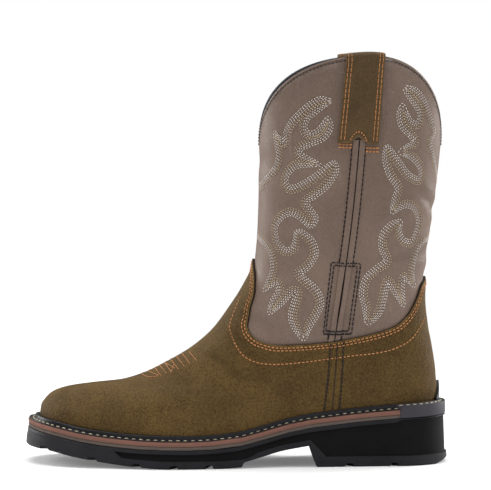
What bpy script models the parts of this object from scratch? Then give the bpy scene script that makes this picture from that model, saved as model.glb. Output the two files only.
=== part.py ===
"""Western work boot for the left foot, as separate solids in metres with +Z up.

The toe points to -X, the outer side of the foot is -Y, and the boot stands on z = 0.
Every section, edge and seam is worked out from the named sizes and the short tables below.
"""
import math
from collections import namedtuple

import bmesh
import bpy
from mathutils import Vector

# Sole sizes
SOLE_LENGTH = 0.312
SOLE_FLARE = 0.0015
BAND_FLARE = 0.0012
LIP_FLARE = 0.0003
TOE_WIDTH = 0.093
BALL_WIDTH = 0.114
WAIST_WIDTH = 0.078
HEEL_WIDTH = 0.079
SIDE_SWING = 0.009
TOE_ROUND = 0.047
HEEL_ROUND = 0.040
ROUND_POWER = 2.15
FOREPART_THICKNESS = 0.0195
TOE_SPRING = 0.0128
HEEL_RISE = 0.0225
ARCH_RISE = 0.0158
MIDSOLE_THICKNESS = 0.0033
BASE_THICKNESS = 0.0022
LAYER_INSET = 0.0019
LAYER_ROUND = 0.0004

# Outsole side and tread
BAND_HEIGHT = 0.0036
PANEL_DEPTH = 0.0013
PANEL_STEP = 0.0005
PANEL_RAMP = 0.004
LIP_HEIGHT = 0.0056
ARCH_LIP_SHARE = 0.75
HEEL_LIP_HEIGHT = 0.0075
LIP_SLANT = 0.0115
TREAD_CHAMFER = 0.0011
BREAST_SLOPE = 0.0044
LUG_STEP = 0.0022
HEEL_BEVEL_LENGTH = 0.010
HEEL_BEVEL_RISE = 0.003
GROOVE_WIDTH = 0.0066
GROOVE_DEPTH = 0.0026
GROOVE_LENGTH = 0.030
GROOVE_TOP_SHARE = 0.55

# Welt, rand and insole
WELT_TOE = 0.0107
WELT_SIDE = 0.0080
WELT_HEEL = 0.0078
WELT_THICKNESS = 0.0020
WELT_INSET = 0.0023
WELT_SEAT = 0.00045
RIDGE_HEIGHT = 0.0022
RIDGE_WIDTH = 0.0024
RIDGE_SLOPE = 0.0004
STITCH_GROOVE_DEPTH = 0.0006
STITCH_GROOVE_WIDTH = 0.0012
STITCH_GROOVE_SLOPE = 0.0003
RIM_ROUND = 0.0004
RAND_INSET = 0.0012
RAND_RIM = 0.0034
INSOLE_THICKNESS = 0.003
INSOLE_CLEARANCE = 0.0006

# Upper sizes
UPPER_WALL = 0.0022
OVERLAY_THICKNESS = 0.0017
CLEARANCE = 0.0003
ANKLE_HEIGHT = 0.156
ANKLE_BACK_HEIGHT = 0.1535
ANKLE_DEPTH = 0.1263
ANKLE_WIDTH = 0.090
ANKLE_SET = 0.0154
COLLAR_HEIGHT = 0.234
COLLAR_RISE = 0.0640
COLLAR_DEPTH = 0.1342
COLLAR_WIDTH = 0.107
COLLAR_SET = 0.005
CROWN_NOSE = 0.64
CROWN_TAIL = 0.45
CROWN_POWER = 2.35
VAMP_PEAK_HEIGHT = 0.150
VAMP_SIDE_HEIGHT = 0.089
COUNTER_PEAK_HEIGHT = 0.137

# Trim sizes
STRIP_WIDTH = 0.0090
STRIP_THICKNESS = 0.0012
STRAP_WIDTH = 0.028
STRAP_THICKNESS = 0.0020
STRAP_STANDOFF = 0.0007
STRAP_OUTER_DROP = 0.064
STRAP_INNER_DROP = 0.052
STRAP_NOTCH = 0.0050
BINDING_HEIGHT = 0.0016
BINDING_PROUD = 0.0002
BINDING_SEAT = 0.0006
SPUR_THICKNESS = 0.0017
SPUR_HEIGHT = 0.0130
SPUR_HALF_WIDTH = 0.015
SPUR_END_HEIGHT = 0.0015

# Mesh fineness
SOLE_STATIONS = 26
VAMP_COLUMNS = 14
COUNTER_COLUMNS = 8
LOW_ROWS = 7
EDGE_ROWS = 7
SHAFT_ROWS = 7
STRAP_FOLD_STEPS = 6
STRAP_LEG_ROWS = 4
STRIP_ROWS = 8
INSOLE_COLUMNS = 20
SPUR_COLUMNS = 8
SPUR_ROWS = 4
OUTLINE_SAMPLES = 400
STATION_GAP = 0.008
TURN_STEP = 0.001
LEVEL_STEP = 0.01

# Places along the sole, as shares of its length from the toe
PANEL_START = 0.210
LUG_END = 0.508
BREAST_AT = 0.670
RAND_START = 0.866

PlanRow = namedtuple("PlanRow", "at width share lean")
SOLE_PLAN = (
    PlanRow(0.00, TOE_WIDTH, 1.00, 1.00),
    PlanRow(0.15, TOE_WIDTH, 1.09, 0.60),
    PlanRow(0.32, BALL_WIDTH, 1.00, 0.00),
    PlanRow(0.50, WAIST_WIDTH, 1.20, -0.55),
    PlanRow(0.63, WAIST_WIDTH, 1.00, -0.70),
    PlanRow(0.76, HEEL_WIDTH, 0.97, -0.40),
    PlanRow(0.88, HEEL_WIDTH, 1.00, 0.00),
    PlanRow(1.00, HEEL_WIDTH, 0.95, 0.00),
)

# Height of the sole's top edge: shares of the toe spring and of the heel rise
TopRow = namedtuple("TopRow", "at toe heel")
SOLE_TOP = (
    TopRow(0.000, 1.00, 0.000),
    TopRow(0.081, 0.64, 0.000),
    TopRow(0.174, 0.25, 0.000),
    TopRow(0.290, 0.04, 0.000),
    TopRow(0.390, 0.00, 0.000),
    TopRow(0.484, 0.00, 0.075),
    TopRow(0.555, 0.00, 0.290),
    TopRow(0.605, 0.00, 0.480),
    TopRow(0.665, 0.00, 0.655),
    TopRow(0.715, 0.00, 0.740),
    TopRow(0.795, 0.00, 0.860),
    TopRow(0.890, 0.00, 0.955),
    TopRow(1.000, 0.00, 1.000),
)

# Height of the tread under the forepart, as a share of the toe spring
TreadRow = namedtuple("TreadRow", "at spring")
FORE_TREAD = (
    TreadRow(0.000, 1.00),
    TreadRow(0.058, 0.88),
    TreadRow(0.103, 0.67),
    TreadRow(0.148, 0.47),
    TreadRow(0.200, 0.28),
    TreadRow(0.260, 0.12),
    TreadRow(0.345, 0.00),
    TreadRow(0.455, 0.00),
    TreadRow(0.509, 0.07),
)

# Height of the arch between the lug's end and the heel breast, as a share of its rise
ArchRow = namedtuple("ArchRow", "along rise")
ARCH = (
    ArchRow(0.00, 0.28),
    ArchRow(0.28, 0.52),
    ArchRow(0.56, 0.76),
    ArchRow(1.00, 1.00),
)

# Cross grooves of the tread: place along the sole and slant across it
GrooveRow = namedtuple("GrooveRow", "at slant")
GROOVES = (
    GrooveRow(0.045, 42.0),
    GrooveRow(0.159, 24.0),
    GrooveRow(0.262, 18.0),
    GrooveRow(0.349, 12.0),
    GrooveRow(0.432, 6.0),
    GrooveRow(0.763, 10.0),
    GrooveRow(0.869, 10.0),
)

# Rings of the foot from the feather edge to the ankle. Shares: front of the run from toe to
# ankle front, climb of the rise at the front, back and lift likewise at the heel, girth of the
# half width, ankle of the way from ball to ankle width, pinch of the sole's own waist, nose
# and tail of the ring's length that is rounded, drop of the feather's sag, lean of the swing.
FootRing = namedtuple(
    "FootRing", "front climb back lift girth ankle pinch nose tail drop lean")
FOOT_RINGS = (
    FootRing(0.000, 0.000, 0.00, 0.000, 1.000, 0.00, 1.00, 0.150, 0.130, 1.00, 1.00),
    FootRing(-0.002, 0.042, -0.05, 0.060, 1.028, 0.00, 0.93, 0.160, 0.130, 0.97, 1.00),
    FootRing(0.002, 0.082, -0.02, 0.123, 1.034, 0.00, 0.86, 0.180, 0.132, 0.92, 0.98),
    FootRing(0.020, 0.118, 0.07, 0.186, 1.013, 0.00, 0.77, 0.220, 0.135, 0.86, 0.92),
    FootRing(0.054, 0.155, 0.18, 0.249, 0.980, 0.00, 0.68, 0.275, 0.138, 0.80, 0.83),
    FootRing(0.121, 0.183, 0.36, 0.312, 0.938, 0.00, 0.58, 0.320, 0.144, 0.73, 0.68),
    FootRing(0.226, 0.202, 0.57, 0.375, 0.893, 0.05, 0.48, 0.335, 0.152, 0.65, 0.50),
    FootRing(0.353, 0.219, 0.80, 0.438, 0.858, 0.10, 0.39, 0.340, 0.165, 0.55, 0.32),
    FootRing(0.472, 0.262, 1.04, 0.496, 0.840, 0.20, 0.31, 0.355, 0.182, 0.44, 0.18),
    FootRing(0.586, 0.331, 1.21, 0.555, 0.837, 0.35, 0.24, 0.380, 0.205, 0.33, 0.08),
    FootRing(0.700, 0.415, 1.37, 0.618, 0.850, 0.50, 0.17, 0.410, 0.235, 0.22, 0.03),
    FootRing(0.804, 0.526, 1.48, 0.681, 0.876, 0.65, 0.11, 0.440, 0.275, 0.12, 0.00),
    FootRing(0.882, 0.656, 1.52, 0.744, 0.913, 0.80, 0.06, 0.470, 0.330, 0.05, 0.00),
    FootRing(0.946, 0.781, 1.43, 0.807, 0.943, 0.90, 0.02, 0.490, 0.400, 0.01, 0.00),
    FootRing(0.989, 0.896, 1.25, 0.892, 0.975, 0.96, 0.00, 0.500, 0.465, 0.00, 0.00),
    FootRing(1.000, 1.000, 1.00, 1.000, 1.000, 1.00, 0.00, 0.500, 0.500, 0.00, 0.00),
)

# Rings of the shaft above the ankle: shares of the way to the collar, and of its side rise
ShaftRing = namedtuple("ShaftRing", "rise front back width hump")
SHAFT_RINGS = (
    ShaftRing(0.154, 0.40, 0.163, 0.18, 0.070),
    ShaftRing(0.436, 0.76, 0.490, 0.47, 0.270),
    ShaftRing(0.718, 0.96, 0.770, 0.77, 0.570),
    ShaftRing(1.000, 1.00, 1.000, 1.00, 1.000),
)

# Side seam as seen from the side: share of the collar's height, share of the sole's length
SeamRow = namedtuple("SeamRow", "height at")
SIDE_SEAM = (
    SeamRow(0.07, 0.690),
    SeamRow(0.33, 0.729),
    SeamRow(0.65, 0.769),
    SeamRow(1.00, 0.795),
)

# Top edge of the vamp from its peak to the side seam: share of the drop to the side
VampEdgeRow = namedtuple("VampEdgeRow", "turn drop")
VAMP_EDGE = (
    VampEdgeRow(0.000, 0.000),
    VampEdgeRow(0.090, 0.080),
    VampEdgeRow(0.310, 0.360),
    VampEdgeRow(0.405, 0.670),
    VampEdgeRow(0.450, 0.787),
    VampEdgeRow(0.530, 0.895),
    VampEdgeRow(0.610, 0.960),
    VampEdgeRow(0.725, 1.000),
    VampEdgeRow(0.820, 0.995),
    VampEdgeRow(1.000, 0.964),
)

# Top edge of the counter from the side seam to the back: share of the climb to its peak
CounterEdgeRow = namedtuple("CounterEdgeRow", "turn climb")
COUNTER_EDGE = (
    CounterEdgeRow(0.000, 0.046),
    CounterEdgeRow(0.225, 0.152),
    CounterEdgeRow(0.425, 0.275),
    CounterEdgeRow(0.560, 0.440),
    CounterEdgeRow(0.695, 0.688),
    CounterEdgeRow(0.780, 0.880),
    CounterEdgeRow(1.000, 1.000),
)

# Section of a side strip: place across its half width and share of its thickness
StripRow = namedtuple("StripRow", "across height")
STRIP_SECTION = (
    StripRow(-1.00, 0.70),
    StripRow(-0.85, 1.00),
    StripRow(-0.14, 1.00),
    StripRow(0.00, 0.50),
    StripRow(0.14, 1.00),
    StripRow(0.85, 1.00),
    StripRow(1.00, 0.70),
)

# Strap columns across its half width, with the notch's depth share at its lower end
StrapColumn = namedtuple("StrapColumn", "across notch")
STRAP_COLUMNS = (
    StrapColumn(-1.00, 0.0),
    StrapColumn(-0.72, 0.0),
    StrapColumn(-0.42, 0.0),
    StrapColumn(-0.21, 0.5),
    StrapColumn(0.00, 1.0),
    StrapColumn(0.21, 0.5),
    StrapColumn(0.42, 0.0),
    StrapColumn(0.72, 0.0),
    StrapColumn(1.00, 0.0),
)

Finish = namedtuple("Finish", "colour roughness metallic")
FINISHES = {
    "oiled_brown_leather": Finish((0.094, 0.058, 0.028), 0.62, 0.0),
    "brown_strap_leather": Finish((0.085, 0.050, 0.028), 0.60, 0.0),
    "taupe_leather": Finish((0.205, 0.150, 0.122), 0.66, 0.0),
    "black_rubber": Finish((0.010, 0.010, 0.011), 0.48, 0.0),
    "slate_rubber": Finish((0.032, 0.030, 0.035), 0.55, 0.0),
    "rust_midsole": Finish((0.222, 0.098, 0.068), 0.70, 0.0),
    "grey_midsole": Finish((0.127, 0.098, 0.080), 0.72, 0.0),
    "dark_binding": Finish((0.012, 0.013, 0.020), 0.60, 0.0),
    "insole_leather": Finish((0.300, 0.210, 0.130), 0.80, 0.0),
}


def mix(start, end, share):
    """Value part of the way from start to end."""
    return start + (end - start) * share


class Curve:
    """Smooth curve through rows of a table that never overshoots them."""

    def __init__(self, places, values):
        """Keep the rows and work out a slope at each of them."""
        self.places = list(places)
        self.values = list(values)
        steps = [b - a for a, b in zip(self.places, self.places[1:])]
        rises = [(b - a) / s for a, b, s in zip(self.values, self.values[1:], steps)]
        inner = []
        for before, after in zip(rises, rises[1:]):
            level = before * after <= 0.0
            inner.append(0.0 if level else 2.0 * before * after / (before + after))
        self.slopes = [rises[0]] + inner + [rises[-1]]

    def __call__(self, place):
        """Value of the curve at a place, held at its ends."""
        place = min(max(place, self.places[0]), self.places[-1])
        index = 0
        while index < len(self.places) - 2 and place > self.places[index + 1]:
            index += 1
        step = self.places[index + 1] - self.places[index]
        t = (place - self.places[index]) / step
        start, end = self.values[index], self.values[index + 1]
        pull = self.slopes[index] * step
        push = self.slopes[index + 1] * step
        return (start * (1 + 2 * t) * (1 - t) ** 2 + pull * t * (1 - t) ** 2
                + end * t * t * (3 - 2 * t) + push * t * t * (t - 1))


def column(rows, name):
    """Named column of a table as a list."""
    return [getattr(row, name) for row in rows]


plan_half = Curve(column(SOLE_PLAN, "at"), [r.width * r.share / 2 for r in SOLE_PLAN])
plan_lean = Curve(column(SOLE_PLAN, "at"), [r.lean * SIDE_SWING for r in SOLE_PLAN])
top_toe = Curve(column(SOLE_TOP, "at"), column(SOLE_TOP, "toe"))
top_heel = Curve(column(SOLE_TOP, "at"), column(SOLE_TOP, "heel"))
fore_tread = Curve(column(FORE_TREAD, "at"), column(FORE_TREAD, "spring"))
arch_line = Curve(column(ARCH, "along"), column(ARCH, "rise"))
vamp_drop = Curve(column(VAMP_EDGE, "turn"), column(VAMP_EDGE, "drop"))
seam_line = Curve(column(SIDE_SEAM, "height"), column(SIDE_SEAM, "at"))
counter_climb = Curve(column(COUNTER_EDGE, "turn"), column(COUNTER_EDGE, "climb"))


def rounded(share, power=ROUND_POWER):
    """Half-width share of a rounded end, from 0 at its tip to 1 where the body begins."""
    share = min(max(share, 0.0), 1.0)
    return (1.0 - (1.0 - share) ** power) ** (1.0 / power)


def end_rounding(along, nose, tail):
    """Half-width share that rounds both ends of an outline."""
    return rounded(along / nose) * rounded((1.0 - along) / tail)


TOE_SHARE = TOE_ROUND / SOLE_LENGTH
HEEL_SHARE = HEEL_ROUND / SOLE_LENGTH


def raw_edges(along, toe_inset, side_inset, heel_inset):
    """X, outer Y and inner Y of the sole's outline, before it is centred across."""
    x = mix(-SOLE_LENGTH / 2 + toe_inset, SOLE_LENGTH / 2 - heel_inset, along)
    half = (plan_half(along) - side_inset) * end_rounding(along, TOE_SHARE, HEEL_SHARE)
    return x, plan_lean(along) - half, plan_lean(along) + half


def centring_shift():
    """Shift across that puts the outline's widest points at equal distances."""
    shares = [k / OUTLINE_SAMPLES for k in range(OUTLINE_SAMPLES + 1)]
    samples = [raw_edges(share, 0.0, 0.0, 0.0) for share in shares]
    return -(min(s[1] for s in samples) + max(s[2] for s in samples)) / 2


CENTRING = centring_shift()


def along_sole(x):
    """Share of the sole's length at an X position."""
    return x / SOLE_LENGTH + 0.5


def place_on_sole(share):
    """X position at a share of the sole's length."""
    return (share - 0.5) * SOLE_LENGTH


def sole_top(x):
    """Height of the midsole's top, on which the upper stands."""
    along = along_sole(x)
    return FOREPART_THICKNESS + TOE_SPRING * top_toe(along) + HEEL_RISE * top_heel(along)


def outsole_top(x):
    """Height of the outsole's top, under both midsole layers."""
    return sole_top(x) - MIDSOLE_THICKNESS - BASE_THICKNESS - 2 * CLEARANCE


LUG_X = place_on_sole(LUG_END)
ARCH_X = LUG_X + LUG_STEP
BREAST_X = place_on_sole(BREAST_AT)
HEEL_X = BREAST_X + BREAST_SLOPE
BEVEL_X = SOLE_LENGTH / 2 - HEEL_BEVEL_LENGTH
PANEL_X = place_on_sole(PANEL_START)


def arch_height(x):
    """Height of the arch's underside."""
    return ARCH_RISE * arch_line((x - ARCH_X) / (BREAST_X - ARCH_X))


def tread_height(x):
    """Height of the outsole's underside."""
    if x <= LUG_X:
        return TOE_SPRING * fore_tread(along_sole(x))
    if x < ARCH_X:
        return mix(tread_height(LUG_X), arch_height(ARCH_X), (x - LUG_X) / LUG_STEP)
    if x <= BREAST_X:
        return arch_height(x)
    if x < HEEL_X:
        return mix(ARCH_RISE, 0.0, (x - BREAST_X) / BREAST_SLOPE)
    return HEEL_BEVEL_RISE * max(0.0, (x - BEVEL_X) / HEEL_BEVEL_LENGTH)


def lip_height(x):
    """Height of the ledge below the outsole's side panel."""
    if x <= LUG_X:
        return tread_height(x) + LIP_HEIGHT
    arch_lip = arch_height(min(x, BREAST_X)) + LIP_HEIGHT * ARCH_LIP_SHARE
    if x <= BREAST_X:
        return mix(tread_height(LUG_X) + LIP_HEIGHT, arch_lip, min(1.0, (x - LUG_X) / LIP_SLANT))
    return mix(arch_lip, HEEL_LIP_HEIGHT, min(1.0, (x - BREAST_X) / LIP_SLANT))


def panel_depth(along):
    """Depth of the side panel, which starts behind the ball."""
    x = place_on_sole(along)
    return PANEL_DEPTH * min(1.0, max(0.0, (x - PANEL_X) / PANEL_RAMP))


def sole_stations():
    """Shares of the length for the sole's sections, close at the ends and at each step."""
    steps = [LUG_X, ARCH_X, BREAST_X, HEEL_X, BREAST_X + LIP_SLANT, LUG_X + LIP_SLANT,
             PANEL_X, PANEL_X + PANEL_RAMP, BEVEL_X]
    fixed = [along_sole(x) for x in steps]
    even = [(1 - math.cos(math.pi * k / SOLE_STATIONS)) / 2 for k in range(SOLE_STATIONS + 1)]
    free = [s for s in even if all(abs(s - f) > STATION_GAP for f in fixed)]
    return sorted(free + fixed)


def outline(stations, inset, height, shift=None):
    """Closed ring round the sole: tip, inner side, heel, outer side."""
    inner, outer = [], []
    for along in stations:
        step = inset + (shift(along) if shift else 0.0)
        x, low, high = raw_edges(along, step, step, step)
        inner.append((x, high + CENTRING, height(x)))
        outer.append((x, low + CENTRING, height(x)))
    return inner + outer[-2:0:-1]


def new_object(name, vertices, faces, finish):
    """Closed object with its faces turned outwards and its material."""
    mesh = bpy.data.meshes.new(name)
    body = bmesh.new()
    corners = [body.verts.new(Vector(v)) for v in vertices]
    for face in faces:
        body.faces.new([corners[i] for i in face])
    bmesh.ops.recalc_face_normals(body, faces=body.faces)
    body.to_mesh(mesh)
    body.free()
    mesh.shade_smooth()
    mesh.set_sharp_from_angle(angle=math.radians(38))
    piece = bpy.data.objects.new(name, mesh)
    bpy.context.scene.collection.objects.link(piece)
    mesh.materials.append(material(finish))
    return piece


def material(finish):
    """Principled material of a named finish, made once."""
    if finish in bpy.data.materials:
        return bpy.data.materials[finish]
    made = bpy.data.materials.new(finish)
    made.use_nodes = True
    shader = made.node_tree.nodes["Principled BSDF"]
    values = FINISHES[finish]
    shader.inputs["Base Color"].default_value = (*values.colour, 1.0)
    shader.inputs["Roughness"].default_value = values.roughness
    shader.inputs["Metallic"].default_value = values.metallic
    made.diffuse_color = (*values.colour, 1.0)
    return made


def stack(name, rings, finish):
    """Solid between closed rings laid one under another, with its ends filled across."""
    count = len(rings[0])
    vertices = [point for ring in rings for point in ring]
    faces = []
    for level in range(len(rings) - 1):
        for k in range(count):
            a = level * count + k
            b = level * count + (k + 1) % count
            faces.append((a, b, b + count, a + count))
    half = count // 2
    for start in (0, (len(rings) - 1) * count):
        faces.append((start, start + 1, start + count - 1))
        for k in range(1, half - 1):
            faces.append((start + k, start + k + 1, start + count - k - 1, start + count - k))
        faces.append((start + half - 1, start + half, start + half + 1))
    return new_object(name, vertices, faces, finish)


def shell(name, outer, inner, closed, finish):
    """Wall between two grids of points, closed round its rims."""
    rows, count = len(outer), len(outer[0])
    vertices = [p for row in outer for p in row] + [p for row in inner for p in row]
    offset = rows * count
    faces = []
    last = count if closed else count - 1
    for j in range(rows - 1):
        for k in range(last):
            a, b = j * count + k, j * count + (k + 1) % count
            c, d = b + count, a + count
            for side in (0, offset):
                faces.append((a + side, b + side, c + side))
                faces.append((a + side, c + side, d + side))
    for j in (0, rows - 1):
        for k in range(last):
            a, b = j * count + k, j * count + (k + 1) % count
            faces.append((a, b, b + offset, a + offset))
    if not closed:
        for k in (0, count - 1):
            for j in range(rows - 1):
                a, b = j * count + k, (j + 1) * count + k
                faces.append((a, b, b + offset, a + offset))
    return new_object(name, vertices, faces, finish)


def sweep(name, sections, closed, finish):
    """Solid made of equal closed sections in a row, its ends capped unless it is a loop."""
    count = len(sections[0])
    total = len(sections)
    vertices = [p for section in sections for p in section]
    faces = []
    for j in range(total if closed else total - 1):
        here, there = j * count, (j + 1) % total * count
        for k in range(count):
            a, b = k, (k + 1) % count
            faces.append((here + a, here + b, there + b, there + a))
    if not closed:
        faces.append(tuple(range(count)))
        faces.append(tuple((total - 1) * count + k for k in range(count)))
    return new_object(name, vertices, faces, finish)


def cut(piece, cutter):
    """Take the cutter's space out of a piece."""
    cutter.hide_render = True
    cutter.display_type = "WIRE"
    boolean = piece.modifiers.new("cut_" + cutter.name, "BOOLEAN")
    boolean.operation = "DIFFERENCE"
    boolean.solver = "EXACT"
    boolean.object = cutter


OVERLAY_OUT = CLEARANCE + OVERLAY_THICKNESS
UPPER_TOE_X = -SOLE_LENGTH / 2 + WELT_TOE + OVERLAY_OUT
UPPER_HEEL_X = SOLE_LENGTH / 2 - WELT_HEEL - OVERLAY_OUT
FOOT_HALF = BALL_WIDTH / 2 - WELT_SIDE - OVERLAY_OUT
FEATHER_TOE_Z = sole_top(UPPER_TOE_X) + CLEARANCE
FEATHER_HEEL_Z = sole_top(UPPER_HEEL_X) + CLEARANCE
ANKLE_BACK_X = SOLE_LENGTH / 2 - ANKLE_SET
ANKLE_FRONT_X = ANKLE_BACK_X - ANKLE_DEPTH
COLLAR_BACK_X = SOLE_LENGTH / 2 - COLLAR_SET
COLLAR_FRONT_X = COLLAR_BACK_X - COLLAR_DEPTH

Ring = namedtuple(
    "Ring",
    "front_x front_z back_x back_z half pinch nose tail drop lean hump")


def foot_ring(row):
    """Real sizes of one ring of the foot."""
    return Ring(
        front_x=mix(UPPER_TOE_X, ANKLE_FRONT_X, row.front),
        front_z=mix(FEATHER_TOE_Z, ANKLE_HEIGHT, row.climb),
        back_x=mix(UPPER_HEEL_X, ANKLE_BACK_X, row.back),
        back_z=mix(FEATHER_HEEL_Z, ANKLE_BACK_HEIGHT, row.lift),
        half=row.girth * mix(FOOT_HALF, ANKLE_WIDTH / 2, row.ankle),
        pinch=row.pinch, nose=row.nose, tail=row.tail, drop=row.drop, lean=row.lean,
        hump=0.0)


def shaft_ring(row):
    """Real sizes of one ring of the shaft."""
    return Ring(
        front_x=mix(ANKLE_FRONT_X, COLLAR_FRONT_X, row.front),
        front_z=mix(ANKLE_HEIGHT, COLLAR_HEIGHT, row.rise),
        back_x=mix(ANKLE_BACK_X, COLLAR_BACK_X, row.back),
        back_z=mix(ANKLE_BACK_HEIGHT, COLLAR_HEIGHT, row.rise),
        half=mix(ANKLE_WIDTH, COLLAR_WIDTH, row.width) / 2,
        pinch=0.0, nose=0.5, tail=0.5, drop=0.0, lean=0.0,
        hump=COLLAR_RISE * row.hump)


RINGS = [foot_ring(r) for r in FOOT_RINGS] + [shaft_ring(r) for r in SHAFT_RINGS]
RING_CURVES = {name: Curve(range(len(RINGS)), column(RINGS, name)) for name in Ring._fields}
TOP_LEVEL = float(len(RINGS) - 1)
RING_MEMORY = {}
SEAM_MEMORY = {}


def ring_at(level):
    """Ring sizes at a level, which counts rings from 0 at the feather edge."""
    if level not in RING_MEMORY:
        RING_MEMORY[level] = Ring(*(RING_CURVES[name](level) for name in Ring._fields))
    return RING_MEMORY[level]


def feather_sag(along):
    """Depth of the feather line under the straight line between its ends."""
    x = mix(UPPER_TOE_X, UPPER_HEEL_X, along)
    return mix(FEATHER_TOE_Z, FEATHER_HEEL_Z, along) - sole_top(x) - CLEARANCE


def plan_body(along):
    """Half width of the feather's outline as a share of that at the ball."""
    return (plan_half(along) - WELT_SIDE - OVERLAY_OUT) / FOOT_HALF


def ring_height(along, ring):
    """Height of a ring at a share of its length."""
    crown = (rounded(along / CROWN_NOSE, CROWN_POWER)
             * rounded((1.0 - along) / CROWN_TAIL, CROWN_POWER))
    return (mix(ring.front_z, ring.back_z, along) - ring.drop * feather_sag(along)
            + ring.hump * crown)


def skin(turn, level):
    """Point of the upper's outer face; turn is 0 in front, positive on the inner side."""
    ring = ring_at(level)
    along = (1.0 - math.cos(turn)) / 2
    x = mix(ring.front_x, ring.back_x, along)
    body = 1.0 - ring.pinch * (1.0 - plan_body(along))
    half = ring.half * body * end_rounding(along, ring.nose, ring.tail)
    y = CENTRING + ring.lean * plan_lean(along) + math.copysign(half, math.sin(turn))
    return Vector((x, y, ring_height(along, ring)))


def skin_frame(turn, level):
    """Point, outward normal and tangent round the boot on the upper's outer face."""
    point = skin(turn, level)
    if abs(math.sin(turn)) < 2 * TURN_STEP:
        around = Vector((0.0, math.cos(turn), 0.0))
    else:
        around = (skin(turn + TURN_STEP, level) - skin(turn - TURN_STEP, level)).normalized()
    low = max(0.0, level - LEVEL_STEP)
    high = min(TOP_LEVEL, level + LEVEL_STEP)
    upward = (skin(turn, high) - skin(turn, low)).normalized()
    normal = upward.cross(around)
    normal.z *= min(1.0, level)
    return point, normal.normalized(), around


def on_upper(turn, level, distance, slide=0.0):
    """Point at a distance outside the upper's face, moved along its ring by slide."""
    point, normal, around = skin_frame(turn, level)
    moved = point + normal * distance + around * slide
    if level == 0.0:
        moved.z = sole_top(moved.x) + CLEARANCE
    return moved


def seam_turn(level):
    """Turn at which the side seams stand, found where the ring meets the seam's line."""
    if level not in SEAM_MEMORY:
        ring = ring_at(level)
        along = 0.5
        for _ in range(12):
            height = ring_height(along, ring) / (COLLAR_HEIGHT + COLLAR_RISE)
            x = place_on_sole(seam_line(height))
            along = (x - ring.front_x) / (ring.back_x - ring.front_x)
        SEAM_MEMORY[level] = math.acos(1.0 - 2.0 * along)
    return SEAM_MEMORY[level]


def front_turn(share, level):
    """Turn at a share of the way from the front to a side seam."""
    return share * seam_turn(level)


def back_turn(share, level):
    """Turn at a share of the way from a side seam to the back."""
    return mix(seam_turn(level), math.pi, share)


def level_at_height(turn_of_level, height):
    """Level at which a line up the upper reaches a height."""
    low, high = 0.0, TOP_LEVEL
    for _ in range(40):
        middle = (low + high) / 2
        if skin(turn_of_level(middle), middle).z < height:
            low = middle
        else:
            high = middle
    return (low + high) / 2


def vamp_level(share):
    """Level of the vamp's top edge at a share of the way to the seam."""
    height = mix(VAMP_PEAK_HEIGHT, VAMP_SIDE_HEIGHT, vamp_drop(share))
    return level_at_height(lambda level: front_turn(share, level), height)


def counter_level(share):
    """Level of the counter's top edge at a share of the way to the back."""
    height = mix(VAMP_SIDE_HEIGHT, COUNTER_PEAK_HEIGHT, counter_climb(share))
    return level_at_height(lambda level: back_turn(share, level), height)


Column = namedtuple("Column", "turn edge")


def boot_columns():
    """Columns from the front centre round the inner side to the back centre."""
    columns = []
    for k in range(VAMP_COLUMNS + 1):
        share = k / VAMP_COLUMNS
        columns.append(Column(lambda level, s=share: front_turn(s, level), vamp_level(share)))
    for k in range(1, COUNTER_COLUMNS + 1):
        share = k / COUNTER_COLUMNS
        columns.append(Column(lambda level, s=share: back_turn(s, level), counter_level(share)))
    return columns


def mirrored(columns):
    """The same columns on the outer side."""
    return [Column(lambda level, rule=c.turn: -rule(level), c.edge) for c in columns]


INNER_COLUMNS = boot_columns()
OUTER_COLUMNS = mirrored(INNER_COLUMNS)


def foot_ladder(edge):
    """Levels up one column of the foot: its low rings, then even steps to the brown edge."""
    low = [float(k) for k in range(LOW_ROWS)]
    return low + [mix(low[-1], edge, (k + 1) / EDGE_ROWS) for k in range(EDGE_ROWS)]


def full_ladder(edge):
    """Levels up one column of the upper: its foot's, then even steps to the collar."""
    return foot_ladder(edge) + [mix(edge, TOP_LEVEL, (k + 1) / SHAFT_ROWS)
                                for k in range(SHAFT_ROWS)]


def grid(columns, ladder, distance, slides):
    """Rows of points outside the upper's face, one point for each column."""
    ladders = [ladder(c.edge) for c in columns]
    return [[on_upper(c.turn(levels[j]), levels[j], distance, slide)
             for c, levels, slide in zip(columns, ladders, slides)]
            for j in range(len(ladders[0]))]


def make_upper():
    """One leather wall for foot and shaft, open at the collar and underneath."""
    columns = INNER_COLUMNS + OUTER_COLUMNS[-2:0:-1]
    flush = [0.0] * len(columns)
    outer = grid(columns, full_ladder, 0.0, flush)
    inner = grid(columns, full_ladder, -UPPER_WALL, flush)
    return shell("upper", outer, inner, True, "taupe_leather")


def overlay(name, columns, slides):
    """Brown leather shell on the upper, up to its edge."""
    outer = grid(columns, foot_ladder, OVERLAY_OUT, slides)
    inner = grid(columns, foot_ladder, CLEARANCE, slides)
    return shell(name, outer, inner, False, "oiled_brown_leather")


def make_vamp():
    """Brown leather over the forepart and up the instep, to both side seams."""
    half = VAMP_COLUMNS + 1
    columns = OUTER_COLUMNS[half - 1:0:-1] + INNER_COLUMNS[:half]
    slides = [CLEARANCE / 2] + [0.0] * (len(columns) - 2) + [-CLEARANCE / 2]
    return overlay("vamp", columns, slides)


def make_counter():
    """Brown leather round the heel, to both side seams."""
    columns = INNER_COLUMNS[VAMP_COLUMNS:] + OUTER_COLUMNS[-2:VAMP_COLUMNS - 1:-1]
    slides = [CLEARANCE / 2] + [0.0] * (len(columns) - 2) + [-CLEARANCE / 2]
    return overlay("counter", columns, slides)


def around_turn(x):
    """Turn at which the feather line passes an X position."""
    along = (x - UPPER_TOE_X) / (UPPER_HEEL_X - UPPER_TOE_X)
    along = max(0.0, min(1.0, along))
    return math.acos(1.0 - 2.0 * along)


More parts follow.
